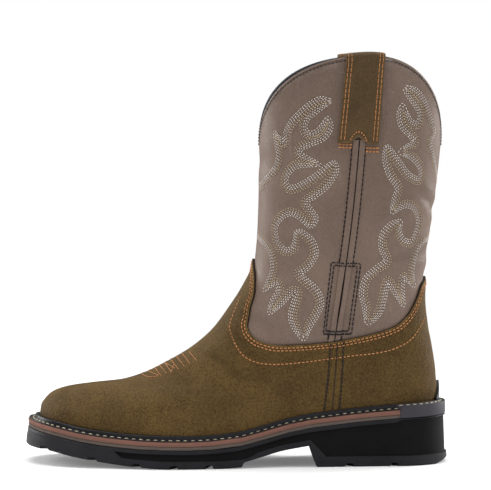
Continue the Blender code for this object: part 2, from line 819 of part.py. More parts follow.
RAND_TURN = around_turn(place_on_sole(RAND_START))
END_GAP_TURN = CLEARANCE / (HEEL_WIDTH / 2)


def sole_edge(turn, inset):
    """Point of the sole's outline that stands outside a turn of the feather line."""
    along = (1.0 - math.cos(turn)) / 2
    x, low, high = raw_edges(along, inset, inset, inset)
    return Vector((x, (high if math.sin(turn) >= 0 else low) + CENTRING, sole_top(x)))


def rim_point(turn, across, rise, edge_inset):
    """Point of a rim section: across 0 stands at the overlay and 1 at the sole's edge."""
    foot_z = sole_top(skin(turn, 0.0).x) + rise
    level = level_at_height(lambda _: turn, max(foot_z, skin(turn, 0.0).z))
    inside = on_upper(turn, level, OVERLAY_OUT + CLEARANCE)
    outside = sole_edge(turn, edge_inset)
    point = inside.lerp(outside, across)
    point.z = mix(sole_top(inside.x), outside.z, across) + rise
    return point


def rim_share(width):
    """Share of the welt's width that a length across it takes."""
    return width / (WELT_SIDE - WELT_INSET - CLEARANCE)


RimRow = namedtuple("RimRow", "across rise")


def groove_rows(top):
    """Stitch groove outside the ridge, up to a top that is RIM_ROUND short of the edge."""
    start = rim_share(RIDGE_WIDTH + RIDGE_SLOPE)
    end = start + rim_share(STITCH_GROOVE_WIDTH)
    floor = WELT_THICKNESS - STITCH_GROOVE_DEPTH
    return [
        RimRow(start, floor),
        RimRow(end, floor),
        RimRow(end + rim_share(STITCH_GROOVE_SLOPE), top),
        RimRow(1.0 - rim_share(RIM_ROUND), top),
        RimRow(1.0, top - RIM_ROUND),
    ]


def welt_section():
    """Welt from inside to outside: raised ridge, stitch groove and flat edge."""
    ridge = WELT_THICKNESS + RIDGE_HEIGHT
    return [
        RimRow(0.0, WELT_SEAT),
        RimRow(0.0, ridge - RIDGE_WIDTH / 6),
        RimRow(rim_share(RIDGE_WIDTH / 3), ridge),
        RimRow(rim_share(RIDGE_WIDTH * 2 / 3), ridge),
        RimRow(rim_share(RIDGE_WIDTH), ridge - RIDGE_WIDTH / 4),
    ] + groove_rows(WELT_THICKNESS) + [RimRow(1.0, WELT_SEAT)]


def make_welt():
    """Black strip round the foot with a raised ridge against the leather."""
    end = RAND_TURN - END_GAP_TURN
    free = [c.turn(0.0) for c in INNER_COLUMNS if c.turn(0.0) < end - END_GAP_TURN]
    turns = [-end] + [-turn for turn in free[:0:-1]] + free + [end]
    sections = [[rim_point(turn, row.across, row.rise, WELT_INSET) for row in welt_section()]
                for turn in turns]
    return sweep("welt", sections, False, "black_rubber")


def rand_columns(start):
    """Turns round the heel, from a start on the inner side to the same on the outer side."""
    free = [c.turn(0.0) for c in INNER_COLUMNS if c.turn(0.0) > start + END_GAP_TURN]
    return [start] + free + [2 * math.pi - turn for turn in free[-2::-1]] + [2 * math.pi - start]


def make_rand():
    """Slate piece round the back of the heel, over the midsole's ends."""
    ridge = WELT_THICKNESS + RIDGE_HEIGHT
    rows = [RimRow(0.0, ridge), RimRow(rim_share(RIDGE_WIDTH), ridge)] + groove_rows(RAND_RIM)
    sections = []
    for turn in rand_columns(RAND_TURN):
        section = [rim_point(turn, row.across, row.rise, RAND_INSET) for row in rows]
        for across in (1.0, 0.0):
            point = rim_point(turn, across, CLEARANCE, RAND_INSET)
            point.z = outsole_top(point.x) + CLEARANCE
            section.append(point)
        sections.append(section)
    return sweep("heel_rand", sections, False, "slate_rubber")


def make_rand_seat():
    """Cutter for the seat of the rand in the midsole layers."""
    deep = MIDSOLE_THICKNESS + BASE_THICKNESS + WELT_THICKNESS
    sections = []
    for turn in rand_columns(RAND_TURN - END_GAP_TURN):
        inside = on_upper(turn, 0.0, OVERLAY_OUT)
        outside = sole_edge(turn, -WELT_HEEL)
        section = []
        for point, rise in ((inside, deep), (outside, deep), (outside, -2 * deep),
                            (inside, -2 * deep)):
            section.append(Vector((point.x, point.y, sole_top(point.x) + rise)))
        sections.append(section)
    return sweep("rand_seat", sections, False, "slate_rubber")


def make_layers(seat):
    """Both midsole layers, their ends cut back for the rand."""
    stations = sole_stations()
    low = outsole_top
    layers = (
        ("midsole_base", "grey_midsole", CLEARANCE, BASE_THICKNESS),
        ("midsole", "rust_midsole", BASE_THICKNESS + 2 * CLEARANCE, MIDSOLE_THICKNESS),
    )
    for name, finish, start, thickness in layers:
        edge = thickness / 2
        rings = [
            outline(stations, LAYER_INSET, lambda x, s=start, t=thickness: low(x) + s + t),
            outline(stations, LAYER_INSET - LAYER_ROUND, lambda x, s=start, e=edge: low(x) + s + e),
            outline(stations, LAYER_INSET, lambda x, s=start: low(x) + s),
        ]
        piece = stack(name, rings, finish)
        cut(piece, seat)


def make_outsole():
    """Moulded rubber unit: toe spring, arch, heel block, side panel and tread grooves."""
    stations = sole_stations()
    rings = [
        outline(stations, SOLE_FLARE + PANEL_STEP / 2, outsole_top),
        outline(stations, SOLE_FLARE, lambda x: outsole_top(x) - PANEL_STEP),
        outline(stations, BAND_FLARE, lambda x: outsole_top(x) - BAND_HEIGHT),
        outline(stations, BAND_FLARE, lambda x: outsole_top(x) - BAND_HEIGHT - PANEL_STEP,
                panel_depth),
        outline(stations, LIP_FLARE, lambda x: lip_height(x) + PANEL_STEP, panel_depth),
        outline(stations, LIP_FLARE, lip_height),
        outline(stations, 0.0, lambda x: tread_height(x) + TREAD_CHAMFER),
        outline(stations, TREAD_CHAMFER, tread_height),
    ]
    outsole = stack("outsole", rings, "black_rubber")
    for number, groove in enumerate(GROOVES, start=1):
        for side in (-1, 1):
            cut(outsole, make_groove(number, groove, side))


def make_groove(number, groove, side):
    """Cutter for one tread groove that runs in from the sole's edge."""
    x, low, high = raw_edges(groove.at, 0.0, 0.0, 0.0)
    edge = (high if side > 0 else low) + CENTRING
    slant = math.tan(math.radians(groove.slant))
    half = GROOVE_WIDTH / 2
    outward = edge + side * GROOVE_LENGTH / 3
    inward = edge - side * GROOVE_LENGTH
    top = tread_height(x) + GROOVE_DEPTH
    bottom = -GROOVE_DEPTH
    sections = []
    for y, reach in ((outward, -1 / 3), (inward, 1.0)):
        centre = x + reach * GROOVE_LENGTH * slant
        narrow = half * GROOVE_TOP_SHARE
        sections.append([Vector((centre - half, y, bottom)), Vector((centre + half, y, bottom)),
                         Vector((centre + narrow, y, top)), Vector((centre - narrow, y, top))])
    name = f"groove_{number}_{'inner' if side > 0 else 'outer'}"
    return sweep(name, sections, False, "black_rubber")


def make_insole():
    """Flat board inside, on the midsole."""
    distance = -UPPER_WALL - INSOLE_CLEARANCE
    turns = [math.pi * k / INSOLE_COLUMNS for k in range(INSOLE_COLUMNS + 1)]
    turns += [-turn for turn in turns[-2:0:-1]]
    rings = []
    for rise in (CLEARANCE + INSOLE_THICKNESS, CLEARANCE):
        ring = []
        for turn in turns:
            point = on_upper(turn, 0.0, distance)
            ring.append(Vector((point.x, point.y, sole_top(point.x) + rise)))
        rings.append(ring)
    return stack("insole", rings, "insole_leather")


def around_step(turn, level):
    """Length round the ring for one radian of turn."""
    small = 0.01
    return (skin(turn + small, level) - skin(turn - small, level)).length / (2 * small)


def seam_point(side, level, across, distance):
    """Point at a distance across a side seam and outside the upper's face."""
    centre = side * seam_turn(level)
    turn = centre + across / around_step(centre, level)
    return on_upper(turn, level, distance)


def level_over_edge(across, gap):
    """Level that clears the brown leather's top edge at a distance across a side seam."""
    seam_level = vamp_level(1.0)
    seam = seam_turn(seam_level)
    turn = seam + across / around_step(seam, seam_level)
    if turn < seam:
        edge = vamp_level(turn / seam)
    else:
        edge = counter_level((turn - seam) / (math.pi - seam))
    return level_at_height(lambda _: turn, skin(turn, edge).z + gap)


def strap_foot_level(drop, notch):
    """Level of a strap's lower end on a side seam."""
    top = skin(seam_turn(TOP_LEVEL), TOP_LEVEL).z
    return level_at_height(seam_turn, top - drop + notch)


def make_strip(name, side):
    """Raised strip down one side seam, from the strap to the foot's edge."""
    half = STRIP_WIDTH / 2
    top = strap_foot_level(STRAP_OUTER_DROP, -2 * CLEARANCE)
    outer, inner = [], []
    for j in range(STRIP_ROWS + 1):
        high_row, low_row = [], []
        for row in STRIP_SECTION:
            across = row.across * half
            level = mix(level_over_edge(side * across, 2 * CLEARANCE), top, j / STRIP_ROWS)
            high_row.append(seam_point(side, level, across,
                                       CLEARANCE + STRIP_THICKNESS * row.height))
            low_row.append(seam_point(side, level, across, CLEARANCE))
        outer.append(high_row)
        inner.append(low_row)
    return shell(name, outer, inner, False, "taupe_leather")


def collar_frame(turn):
    """Point on the collar with its outward normal and its direction up the wall."""
    point, normal, around = skin_frame(turn, TOP_LEVEL)
    upward = normal.cross(around)
    if upward.z < 0:
        upward = -upward
    return point, normal, upward


def collar_point(turn, distance, lift):
    """Point at a distance outside the collar and above its edge."""
    point, normal, upward = collar_frame(turn)
    return point + normal * distance + upward * lift


def make_strap(name, side):
    """Pull strap folded over the collar, with a notch in its outer foot."""
    middle = -UPPER_WALL / 2
    fold_base = BINDING_SEAT + BINDING_HEIGHT / 2
    grids = []
    for extra in (STRAP_THICKNESS, 0.0):
        reach = UPPER_WALL / 2 + STRAP_STANDOFF + extra
        crown = BINDING_HEIGHT / 2 + CLEARANCE + extra
        rows = []
        for j in range(STRAP_LEG_ROWS):
            rows.append([seam_point(
                side,
                mix(strap_foot_level(STRAP_OUTER_DROP, STRAP_NOTCH * c.notch), TOP_LEVEL,
                    j / STRAP_LEG_ROWS),
                c.across * STRAP_WIDTH / 2, middle + reach) for c in STRAP_COLUMNS])
        for step in range(STRAP_FOLD_STEPS + 1):
            angle = math.pi * step / STRAP_FOLD_STEPS
            row = []
            for c in STRAP_COLUMNS:
                centre = side * seam_turn(TOP_LEVEL)
                turn = centre + c.across * STRAP_WIDTH / 2 / around_step(centre, TOP_LEVEL)
                row.append(collar_point(turn, middle + reach * math.cos(angle),
                                        fold_base + crown * math.sin(angle)))
            rows.append(row)
        foot = strap_foot_level(STRAP_INNER_DROP, 0.0)
        for j in range(1, STRAP_LEG_ROWS + 1):
            level = mix(TOP_LEVEL, foot, j / STRAP_LEG_ROWS)
            rows.append([seam_point(side, level, c.across * STRAP_WIDTH / 2, middle - reach)
                         for c in STRAP_COLUMNS])
        grids.append(rows)
    return shell(name, grids[0], grids[1], False, "brown_strap_leather")


def make_binding():
    """Dark edge binding that lies on the collar."""
    out = BINDING_PROUD
    inward = -UPPER_WALL - BINDING_PROUD
    quarter = (out - inward) / 4
    low = BINDING_SEAT
    high = BINDING_SEAT + BINDING_HEIGHT
    section = ((out, low), (out, high - quarter), (out - quarter, high),
               (inward + quarter, high), (inward, high - quarter), (inward, low))
    columns = INNER_COLUMNS + OUTER_COLUMNS[-2:0:-1]
    sections = [[collar_point(c.turn(TOP_LEVEL), distance, lift) for distance, lift in section]
                for c in columns]
    return sweep("collar_binding", sections, True, "dark_binding")


def make_spur():
    """Small ledge at the back of the counter, over the rand."""
    radius = around_step(math.pi, 1.0)
    base = skin(math.pi, 0.0).z + WELT_THICKNESS + RIDGE_HEIGHT + CLEARANCE
    grids = []
    for distance in (OVERLAY_OUT + CLEARANCE + SPUR_THICKNESS, OVERLAY_OUT + CLEARANCE):
        rows = []
        for j in range(SPUR_ROWS + 1):
            row = []
            for k in range(-SPUR_COLUMNS // 2, SPUR_COLUMNS // 2 + 1):
                share = 2 * k / SPUR_COLUMNS
                turn = math.pi + share * SPUR_HALF_WIDTH / radius
                height = mix(SPUR_HEIGHT, SPUR_END_HEIGHT, abs(share))
                level = level_at_height(lambda _, t=turn: t, base + height * j / SPUR_ROWS)
                row.append(on_upper(turn, level, distance))
            rows.append(row)
        grids.append(rows)
    return shell("spur_ledge", grids[0], grids[1], False, "black_rubber")


def clear_scene():
    """Remove the objects that a new file starts with."""
    for thing in list(bpy.data.objects):
        bpy.data.objects.remove(thing, do_unlink=True)


def main():
    """Build the boot from the ground up."""
    clear_scene()
    make_outsole()
    make_layers(make_rand_seat())
    make_welt()
    make_rand()
    make_insole()
    make_upper()
    make_vamp()
    make_counter()
    make_spur()
    for place, side in (("outer", -1), ("inner", 1)):
        make_strip("side_seam_" + place, side)
        make_strap("pull_strap_" + place, side)
    make_binding()


main()
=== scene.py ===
"""Looks of the western work boot: leather, lining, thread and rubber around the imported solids.

Sizes are metres in the row frame: the toe points to -X, the outer side of the foot is -Y and
the boot stands on z = 0. Places read off the photograph are pixels of its 491 by 490 frame.
"""
from __future__ import annotations

import logging
import math
from collections import namedtuple
from collections.abc import Callable, Sequence
from dataclasses import dataclass
from enum import Enum

import bpy
import numpy as np
from bpy.types import Material, Node, NodeSocket, NodeTree, Object
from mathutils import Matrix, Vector


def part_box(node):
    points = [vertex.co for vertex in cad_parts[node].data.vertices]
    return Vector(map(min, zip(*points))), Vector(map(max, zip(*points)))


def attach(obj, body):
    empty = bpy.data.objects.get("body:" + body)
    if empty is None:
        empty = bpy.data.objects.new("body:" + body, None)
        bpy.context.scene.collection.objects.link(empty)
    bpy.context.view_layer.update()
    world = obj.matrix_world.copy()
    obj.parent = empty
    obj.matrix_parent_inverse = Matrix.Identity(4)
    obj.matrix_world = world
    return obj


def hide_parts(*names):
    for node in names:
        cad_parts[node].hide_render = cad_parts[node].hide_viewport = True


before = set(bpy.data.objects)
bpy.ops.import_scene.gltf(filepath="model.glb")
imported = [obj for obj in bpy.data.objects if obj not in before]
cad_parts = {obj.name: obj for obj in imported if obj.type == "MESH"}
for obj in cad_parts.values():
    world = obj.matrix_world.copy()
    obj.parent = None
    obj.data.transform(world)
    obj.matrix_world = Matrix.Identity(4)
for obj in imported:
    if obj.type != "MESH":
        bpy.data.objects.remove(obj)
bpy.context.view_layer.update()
LOG = logging.getLogger("boot")
Array = np.ndarray
Colour = tuple[float, float, float]
Place = tuple[float, float, float]

# Size that the outsole's solid gives
OUTSOLE_LOW, OUTSOLE_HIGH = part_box("outsole")
SOLE_LENGTH = OUTSOLE_HIGH[0] - OUTSOLE_LOW[0]

# Sole and rim sizes
TOE_WIDTH = 0.093
BALL_WIDTH = 0.114
WAIST_WIDTH = 0.078
HEEL_WIDTH = 0.079
SIDE_SWING = 0.009
TOE_ROUND = 0.047
HEEL_ROUND = 0.040
ROUND_POWER = 2.15
FOREPART_THICKNESS = 0.0195
TOE_SPRING = 0.0128
HEEL_RISE = 0.0225
WELT_TOE = 0.0107
WELT_SIDE = 0.0080
WELT_HEEL = 0.0078
WELT_THICKNESS = 0.0020
WELT_RIM = 0.0011
WELT_INSET = 0.0023
WELT_SEAT = 0.00045
RIDGE_HEIGHT = 0.0022
RIDGE_WIDTH = 0.0024
RIDGE_SLOPE = 0.0004
STITCH_GROOVE_DEPTH = 0.0006
STITCH_GROOVE_WIDTH = 0.0012
RIM_ROUND = 0.0004
RAND_INSET = 0.0012
RAND_RIM = 0.0034
RAND_START = 0.866
RAND_SLANT = 0.0018
LAYERS_HEIGHT = 0.0061

# Foot of the pull straps
STRAP_SHORT = 0.0024
STRAP_TILT = 0.0010
STRAP_SPREAD = 0.055
STRAP_LEAN = 0.0008

# Outsole sizes
SOLE_FLARE = 0.0015
BAND_FLARE = 0.0012
LIP_FLARE = 0.0003
ARCH_RISE = 0.0158
BAND_HEIGHT = 0.0028
BAND_HEEL_HEIGHT = 0.0009
PANEL_DEPTH = 0.0013
PANEL_STEP = 0.0005
PANEL_RAMP = 0.0010
PANEL_SLANT = 0.0050
PANEL_START = 0.210
LIP_HEIGHT = 0.0056
ARCH_LIP_SHARE = 0.75
HEEL_LIP_HEIGHT = 0.0075
LIP_SLANT = 0.0115
TREAD_CHAMFER = 0.0011
BREAST_AT = 0.670
BREAST_SLOPE = 0.0044
LUG_END = 0.508
LUG_STEP = 0.0022
HEEL_BEVEL_LENGTH = 0.010
HEEL_BEVEL_RISE = 0.003
GROOVE_WIDTH = 0.0066
GROOVE_DEPTH = 0.0026
GROOVE_LENGTH = 0.030
GROOVE_TOP_SHARE = 0.68

# Upper sizes
UPPER_WALL = 0.0022
OVERLAY_THICKNESS = 0.0017
CLEARANCE = 0.0003
OVERLAY_OUT = CLEARANCE + OVERLAY_THICKNESS
# Crease depth at which the painted shade in a crease is full
FULL_CREASE_SHADE_DEPTH = 0.0010
# Width of the lighter band along the brown leather's top edge: wear and a painted highlight
EDGE_WEAR_AND_HIGHLIGHT_WIDTH = 0.0022
ANKLE_HEIGHT = 0.156
ANKLE_BACK_HEIGHT = 0.1535
ANKLE_DEPTH = 0.1263
ANKLE_WIDTH = 0.090
ANKLE_SET = 0.0154
COLLAR_HEIGHT = 0.234
COLLAR_RISE = 0.0640
COLLAR_DEPTH = 0.1342
COLLAR_WIDTH = 0.107
COLLAR_SET = 0.005
CROWN_NOSE = 0.64
CROWN_TAIL = 0.45
CROWN_POWER = 2.35
VAMP_PEAK_HEIGHT = 0.150
VAMP_SIDE_HEIGHT = 0.089
COUNTER_PEAK_HEIGHT = 0.137

# Trim sizes
STRIP_WIDTH = 0.0090
STRIP_THICKNESS = 0.0012
STRAP_WIDTH = 0.028
STRAP_THICKNESS = 0.0020
STRAP_STANDOFF = 0.0007
STRAP_OUTER_DROP = 0.064
STRAP_INNER_DROP = 0.052
STRAP_NOTCH = 0.0050
BINDING_HEIGHT = 0.0016
BINDING_PROUD = 0.0002
BINDING_SEAT = 0.0006

# Photograph and camera
PHOTO_WIDTH = 491
PHOTO_HEIGHT = 490
TRACE_SCALE = 7.127
CAMERA_AZIMUTH = math.radians(-1.5)
CAMERA_ELEVATION = math.radians(3.0)
CAMERA_DISTANCE = 2.40
CAMERA_AIM = (0.0067, 0.0, 0.160)
LENS_MM = 238.0
SENSOR_MM = 36.0

LIGHT_AIM = (0.02, 0.0, 0.14)

# Steps of the searches on the upper's surface
HALVINGS = 32
RAY_STEPS = 8
PHOTO_STEPS = 7
SEAM_STEPS = 12
TURN_STEP = 0.001
LEVEL_STEP = 0.01


def table(kind: type, *rows: tuple[float, ...]) -> tuple:
    """Rows of numbers as a table with the named columns of a kind."""
    return tuple(kind(*row) for row in rows)


PlanRow = namedtuple("PlanRow", "at width share lean")
SOLE_PLAN = table(
    PlanRow,
    (0.00, TOE_WIDTH, 1.00, 1.00),
    (0.15, TOE_WIDTH, 1.09, 0.60),
    (0.32, BALL_WIDTH, 1.00, 0.00),
    (0.50, WAIST_WIDTH, 1.20, -0.55),
    (0.63, WAIST_WIDTH, 1.00, -0.70),
    (0.76, HEEL_WIDTH, 0.97, -0.40),
    (0.88, HEEL_WIDTH, 1.00, 0.00),
    (1.00, HEEL_WIDTH, 0.95, 0.00),
)

TopRow = namedtuple("TopRow", "at toe heel")
SOLE_TOP = table(
    TopRow,
    (0.000, 1.00, 0.000),
    (0.081, 0.64, 0.000),
    (0.174, 0.25, 0.000),
    (0.290, 0.04, 0.000),
    (0.390, 0.00, 0.000),
    (0.484, 0.00, 0.075),
    (0.555, 0.00, 0.290),
    (0.605, 0.00, 0.480),
    (0.665, 0.00, 0.655),
    (0.715, 0.00, 0.740),
    (0.795, 0.00, 0.860),
    (0.890, 0.00, 0.955),
    (1.000, 0.00, 1.000),
)

TreadRow = namedtuple("TreadRow", "at spring")
FORE_TREAD = table(
    TreadRow,
    (0.000, 1.00),
    (0.058, 0.88),
    (0.103, 0.67),
    (0.148, 0.47),
    (0.200, 0.28),
    (0.260, 0.12),
    (0.345, 0.00),
    (0.455, 0.00),
    (0.509, 0.07),
)

ArchRow = namedtuple("ArchRow", "along rise")
ARCH = table(
    ArchRow,
    (0.00, 0.28),
    (0.28, 0.52),
    (0.56, 0.76),
    (1.00, 1.00),
)

GrooveRow = namedtuple("GrooveRow", "at slant")
GROOVES = table(
    GrooveRow,
    (0.045, 42.0),
    (0.159, 24.0),
    (0.262, 18.0),
    (0.349, 12.0),
    (0.432, 6.0),
    (0.763, 10.0),
    (0.869, 10.0),
)

# Rings of the foot from the feather edge to the ankle, as shares of the sizes above
FootRing = namedtuple(
    "FootRing", "front climb back lift girth ankle pinch nose tail drop lean")
FOOT_RINGS = table(
    FootRing,
    (0.000, 0.000, 0.00, 0.000, 1.000, 0.00, 1.00, 0.150, 0.130, 1.00, 1.00),
    (-0.002, 0.042, -0.05, 0.060, 1.028, 0.00, 0.93, 0.160, 0.130, 0.97, 1.00),
    (0.002, 0.082, -0.02, 0.123, 1.034, 0.00, 0.86, 0.180, 0.132, 0.92, 0.98),
    (0.020, 0.118, 0.07, 0.186, 1.013, 0.00, 0.77, 0.220, 0.135, 0.86, 0.92),
    (0.054, 0.155, 0.18, 0.249, 0.980, 0.00, 0.68, 0.275, 0.138, 0.80, 0.83),
    (0.121, 0.183, 0.36, 0.312, 0.938, 0.00, 0.58, 0.320, 0.144, 0.73, 0.68),
    (0.226, 0.202, 0.57, 0.375, 0.893, 0.05, 0.48, 0.335, 0.152, 0.65, 0.50),
    (0.353, 0.219, 0.80, 0.438, 0.858, 0.10, 0.39, 0.340, 0.165, 0.55, 0.32),
    (0.472, 0.262, 1.04, 0.496, 0.840, 0.20, 0.31, 0.355, 0.182, 0.44, 0.18),
    (0.586, 0.331, 1.21, 0.555, 0.837, 0.35, 0.24, 0.380, 0.205, 0.33, 0.08),
    (0.700, 0.415, 1.37, 0.618, 0.850, 0.50, 0.17, 0.410, 0.235, 0.22, 0.03),
    (0.804, 0.526, 1.48, 0.681, 0.876, 0.65, 0.11, 0.440, 0.275, 0.12, 0.00),
    (0.882, 0.656, 1.52, 0.744, 0.913, 0.80, 0.06, 0.470, 0.330, 0.05, 0.00),
    (0.946, 0.781, 1.43, 0.807, 0.943, 0.90, 0.02, 0.490, 0.400, 0.01, 0.00),
    (0.989, 0.896, 1.25, 0.892, 0.975, 0.96, 0.00, 0.500, 0.465, 0.00, 0.00),
    (1.000, 1.000, 1.00, 1.000, 1.000, 1.00, 0.00, 0.500, 0.500, 0.00, 0.00),
)

ShaftRing = namedtuple("ShaftRing", "rise front back width hump")
SHAFT_RINGS = table(
    ShaftRing,
    (0.154, 0.40, 0.163, 0.18, 0.070),
    (0.436, 0.76, 0.490, 0.47, 0.270),
    (0.718, 0.96, 0.770, 0.77, 0.570),
    (1.000, 1.00, 1.000, 1.00, 1.000),
)

SeamRow = namedtuple("SeamRow", "height at")
SIDE_SEAM = table(
    SeamRow,
    (0.07, 0.690),
    (0.33, 0.729),
    (0.65, 0.769),
    (1.00, 0.795),
)

EdgeRow = namedtuple("EdgeRow", "turn share")
VAMP_EDGE = table(
    EdgeRow,
    (0.000, 0.000),
    (0.090, 0.080),
    (0.310, 0.360),
    (0.405, 0.670),
    (0.450, 0.787),
    (0.530, 0.895),
    (0.610, 0.960),
    (0.725, 1.000),
    (0.820, 0.995),
    (1.000, 0.964),
)
COUNTER_EDGE = table(
    EdgeRow,
    (0.000, 0.046),
    (0.225, 0.152),
    (0.425, 0.275),
    (0.560, 0.440),
    (0.695, 0.688),
    (0.780, 0.880),
    (1.000, 1.000),
)

# Stitched flame of the shaft, traced on enlarged crops: rows across, rows down, share of width
TracePoint = namedtuple("TracePoint", "across down wide", defaults=(1.0,))
CROP_SHAFT_TOP = (240, 40)
CROP_SHAFT_FOOT = (240, 220)
FLAME_FRONT_TOP = table(
    TracePoint,
    (655, 432, 0.25), (600, 462, 0.7), (535, 500), (478, 548), (452, 605), (468, 665),
    (530, 675), (590, 625), (626, 552, 0.3), (636, 620), (590, 690), (500, 730), (432, 762),
    (412, 812), (470, 850), (572, 888, 0.3), (480, 882, 0.9), (400, 890), (335, 945),
    (318, 1010), (350, 1062), (420, 1050), (500, 1005), (585, 945), (668, 880, 0.7), (672, 940),
    (615, 1030), (530, 1100), (462, 1150), (490, 1210), (530, 1270), (500, 1318, 0.8),
    (440, 1262), (370, 1225), (300, 1250), (250, 1320),
)
FLAME_FRONT_FOOT = table(
    TracePoint,
    (248, 110), (272, 180), (330, 228), (392, 190), (405, 90, 0.6), (460, 110), (518, 170),
    (528, 250), (480, 325), (415, 380), (470, 440), (535, 500), (570, 585), (540, 670),
    (490, 750), (455, 850, 0.35), (400, 765), (372, 690), (392, 600), (415, 520), (370, 505),
    (300, 575), (212, 665, 0.4), (240, 580), (285, 500), (255, 440), (172, 500, 0.4),
    (215, 425), (240, 340), (228, 250), (190, 175), (126, 105),
)
FLAME_FRONT_EDGE = table(
    TracePoint,
    (655, 430, 0.25), (580, 428, 0.9), (500, 470), (430, 530), (370, 595), (332, 672),
    (325, 740, 0.8), (285, 720), (246, 658, 0.4), (268, 740), (280, 820), (262, 900),
    (215, 970), (140, 1050),
)
FLAME_BACK_TOP = table(
    TracePoint,
    (1165, 340, 0.3), (1210, 395), (1262, 465), (1290, 540), (1262, 605), (1205, 580),
    (1162, 460, 0.3), (1142, 530), (1160, 610), (1225, 680), (1250, 730), (1140, 795, 0.4),
    (1230, 830), (1290, 910), (1280, 1000), (1200, 970), (1120, 865), (1048, 762, 0.6),
    (1045, 860), (1075, 960), (1130, 1050), (1110, 1130), (1085, 1225, 0.5), (1170, 1170),
    (1245, 1190), (1275, 1280),
)
FLAME_BACK_FOOT = table(
    TracePoint,
    (1265, 70), (1225, 160), (1160, 150), (1130, 80, 0.8), (1145, 12, 0.5), (1080, 40),
    (1022, 110), (1018, 200), (1052, 290), (980, 350), (905, 420), (880, 520), (900, 620),
    (908, 735, 0.4), (985, 660), (1020, 540), (1050, 430), (1105, 500), (1165, 610, 0.4),
    (1150, 500), (1165, 400), (1240, 470, 0.4), (1222, 370), (1240, 260), (1280, 180),
    (1350, 110),
)
FLAME_BACK_EDGE = table(
    TracePoint,
    (1175, 332, 0.3), (1250, 370), (1312, 450), (1352, 550), (1378, 650), (1352, 730),
    (1372, 830), (1395, 940, 0.8), (1400, 1010, 0.6),
)

# Other rows of stitches, in pixels of the photograph
Pixel = namedtuple("Pixel", "px py")
ACCENT_ROW = table(
    Pixel,
    (240.9, 295.4), (231.3, 319.3), (230.5, 332.0), (240.0, 351.9),
    (254.0, 361.7), (275.0, 364.5), (303.0, 362.4), (330.0, 358.9),
    (352.0, 356.0), (380.0, 352.6), (397.0, 347.7), (412.6, 337.9),
    (425.0, 318.0),
)
TOE_ROWS = tuple(table(Pixel, *row) for row in (
    ((188.8, 351.2), (196.9, 360.9)), ((182.4, 353.6), (190.3, 364.0)),
    ((176.7, 356.4), (184.5, 366.5)), ((171.0, 359.6), (178.4, 369.1)),
    ((165.0, 363.2), (171.4, 372.1)), ((160.0, 365.4), (166.8, 373.7)),
    ((155.0, 367.6), (161.2, 375.9)), ((165.4, 362.9), (174.6, 367.9)),
    ((171.2, 371.9), (174.2, 363.9)), ((148.6, 371.2), (158.7, 375.3)),
))
TOE_LOOP = table(
    Pixel,
    (142.3, 374.0), (146.6, 376.3), (152.0, 376.9), (158.2, 375.9),
)
STRAP_ARCH = table(
    Pixel,
    (350.1, 140.3), (352.2, 136.6), (355.1, 133.2), (358.6, 131.8),
    (362.1, 133.2), (364.9, 136.8), (367.0, 141.7),
)
STRAP_TACKS = tuple(table(Pixel, *row) for row in (
    ((338.4, 143.9), (352.2, 144.3)), ((338.2, 147.2), (352.0, 147.6)),
    ((365.4, 147.6), (379.0, 148.2)), ((365.2, 151.2), (378.8, 151.8)),
))
SLIT = table(Pixel, (344.6, 273.0), (338.6, 326.0))
SEAM_FEET = tuple(table(Pixel, *row) for row in (
    ((330.8, 343.5), (330.0, 353.0), (327.2, 385.0), (324.4, 410.5)),
    ((337.4, 342.5), (336.8, 353.0), (334.4, 385.0), (332.2, 410.0)),
    ((343.6, 341.5), (343.2, 353.0), (341.4, 385.0), (339.0, 409.5)),
))
BOX_OUTER = table(Pixel, (331.2, 262.8), (361.0, 263.8), (351.6, 334.4), (323.5, 334.4))
BOX_INNER = table(Pixel, (334.0, 265.6), (357.6, 266.6), (348.7, 331.5), (325.9, 331.5))


def mix(start: float | Array, end: float | Array, share: float | Array) -> float | Array:
    """Value part of the way from start to end."""
    return start + (end - start) * share


class Side(Enum):
    """Side of the boot, with the sign that its turns and Y positions carry."""

    OUTER = -1
    INNER = 1


class Curve:
    """Smooth curve through rows of a table that never overshoots them, read in bulk."""

    def __init__(self, places: Sequence[float], values: Sequence[float]) -> None:
        """Keep the rows and work out a slope at each of them.

        Args:
            places: rising positions of the rows.
            values: value at each of them.
        """
        self.places = np.asarray(places, float)
        self.values = np.asarray(values, float)
        steps = np.diff(self.places)
        rises = np.diff(self.values) / steps
        before, after = rises[:-1], rises[1:]
        total = before + after
        safe = np.where(np.abs(total) < 1e-12, 1.0, total)
        inner = np.where(before * after <= 0.0, 0.0, 2.0 * before * after / safe)
        self.slopes = np.concatenate(([rises[0]], inner, [rises[-1]]))

    def __call__(self, place: float | Array) -> Array:
        """Value of the curve, held at its ends.

        Args:
            place: one position or an array of them.

        Returns:
            The values there.
        """
        place = np.clip(place, self.places[0], self.places[-1])
        index = np.clip(np.searchsorted(self.places, place, side="right") - 1,
                        0, len(self.places) - 2)
        step = self.places[index + 1] - self.places[index]
        t = (place - self.places[index]) / step
        start, end = self.values[index], self.values[index + 1]
        pull, push = self.slopes[index] * step, self.slopes[index + 1] * step
        return (start * (1 + 2 * t) * (1 - t) ** 2 + pull * t * (1 - t) ** 2
                + end * t * t * (3 - 2 * t) + push * t * t * (t - 1))


def rounded(share: Array, power: float = ROUND_POWER) -> Array:
    """Half-width share of a rounded end.

    Args:
        share: position from 0 at the tip to 1 where the body begins.
        power: fullness of the round.

    Returns:
        Share of the full half width.
    """
    share = np.clip(share, 0.0, 1.0)
    return (1.0 - (1.0 - share) ** power) ** (1.0 / power)


def unit(vectors: Array) -> Array:
    """Vectors scaled to a length of one."""
    return vectors / np.maximum(np.linalg.norm(vectors, axis=-1, keepdims=True), 1e-12)


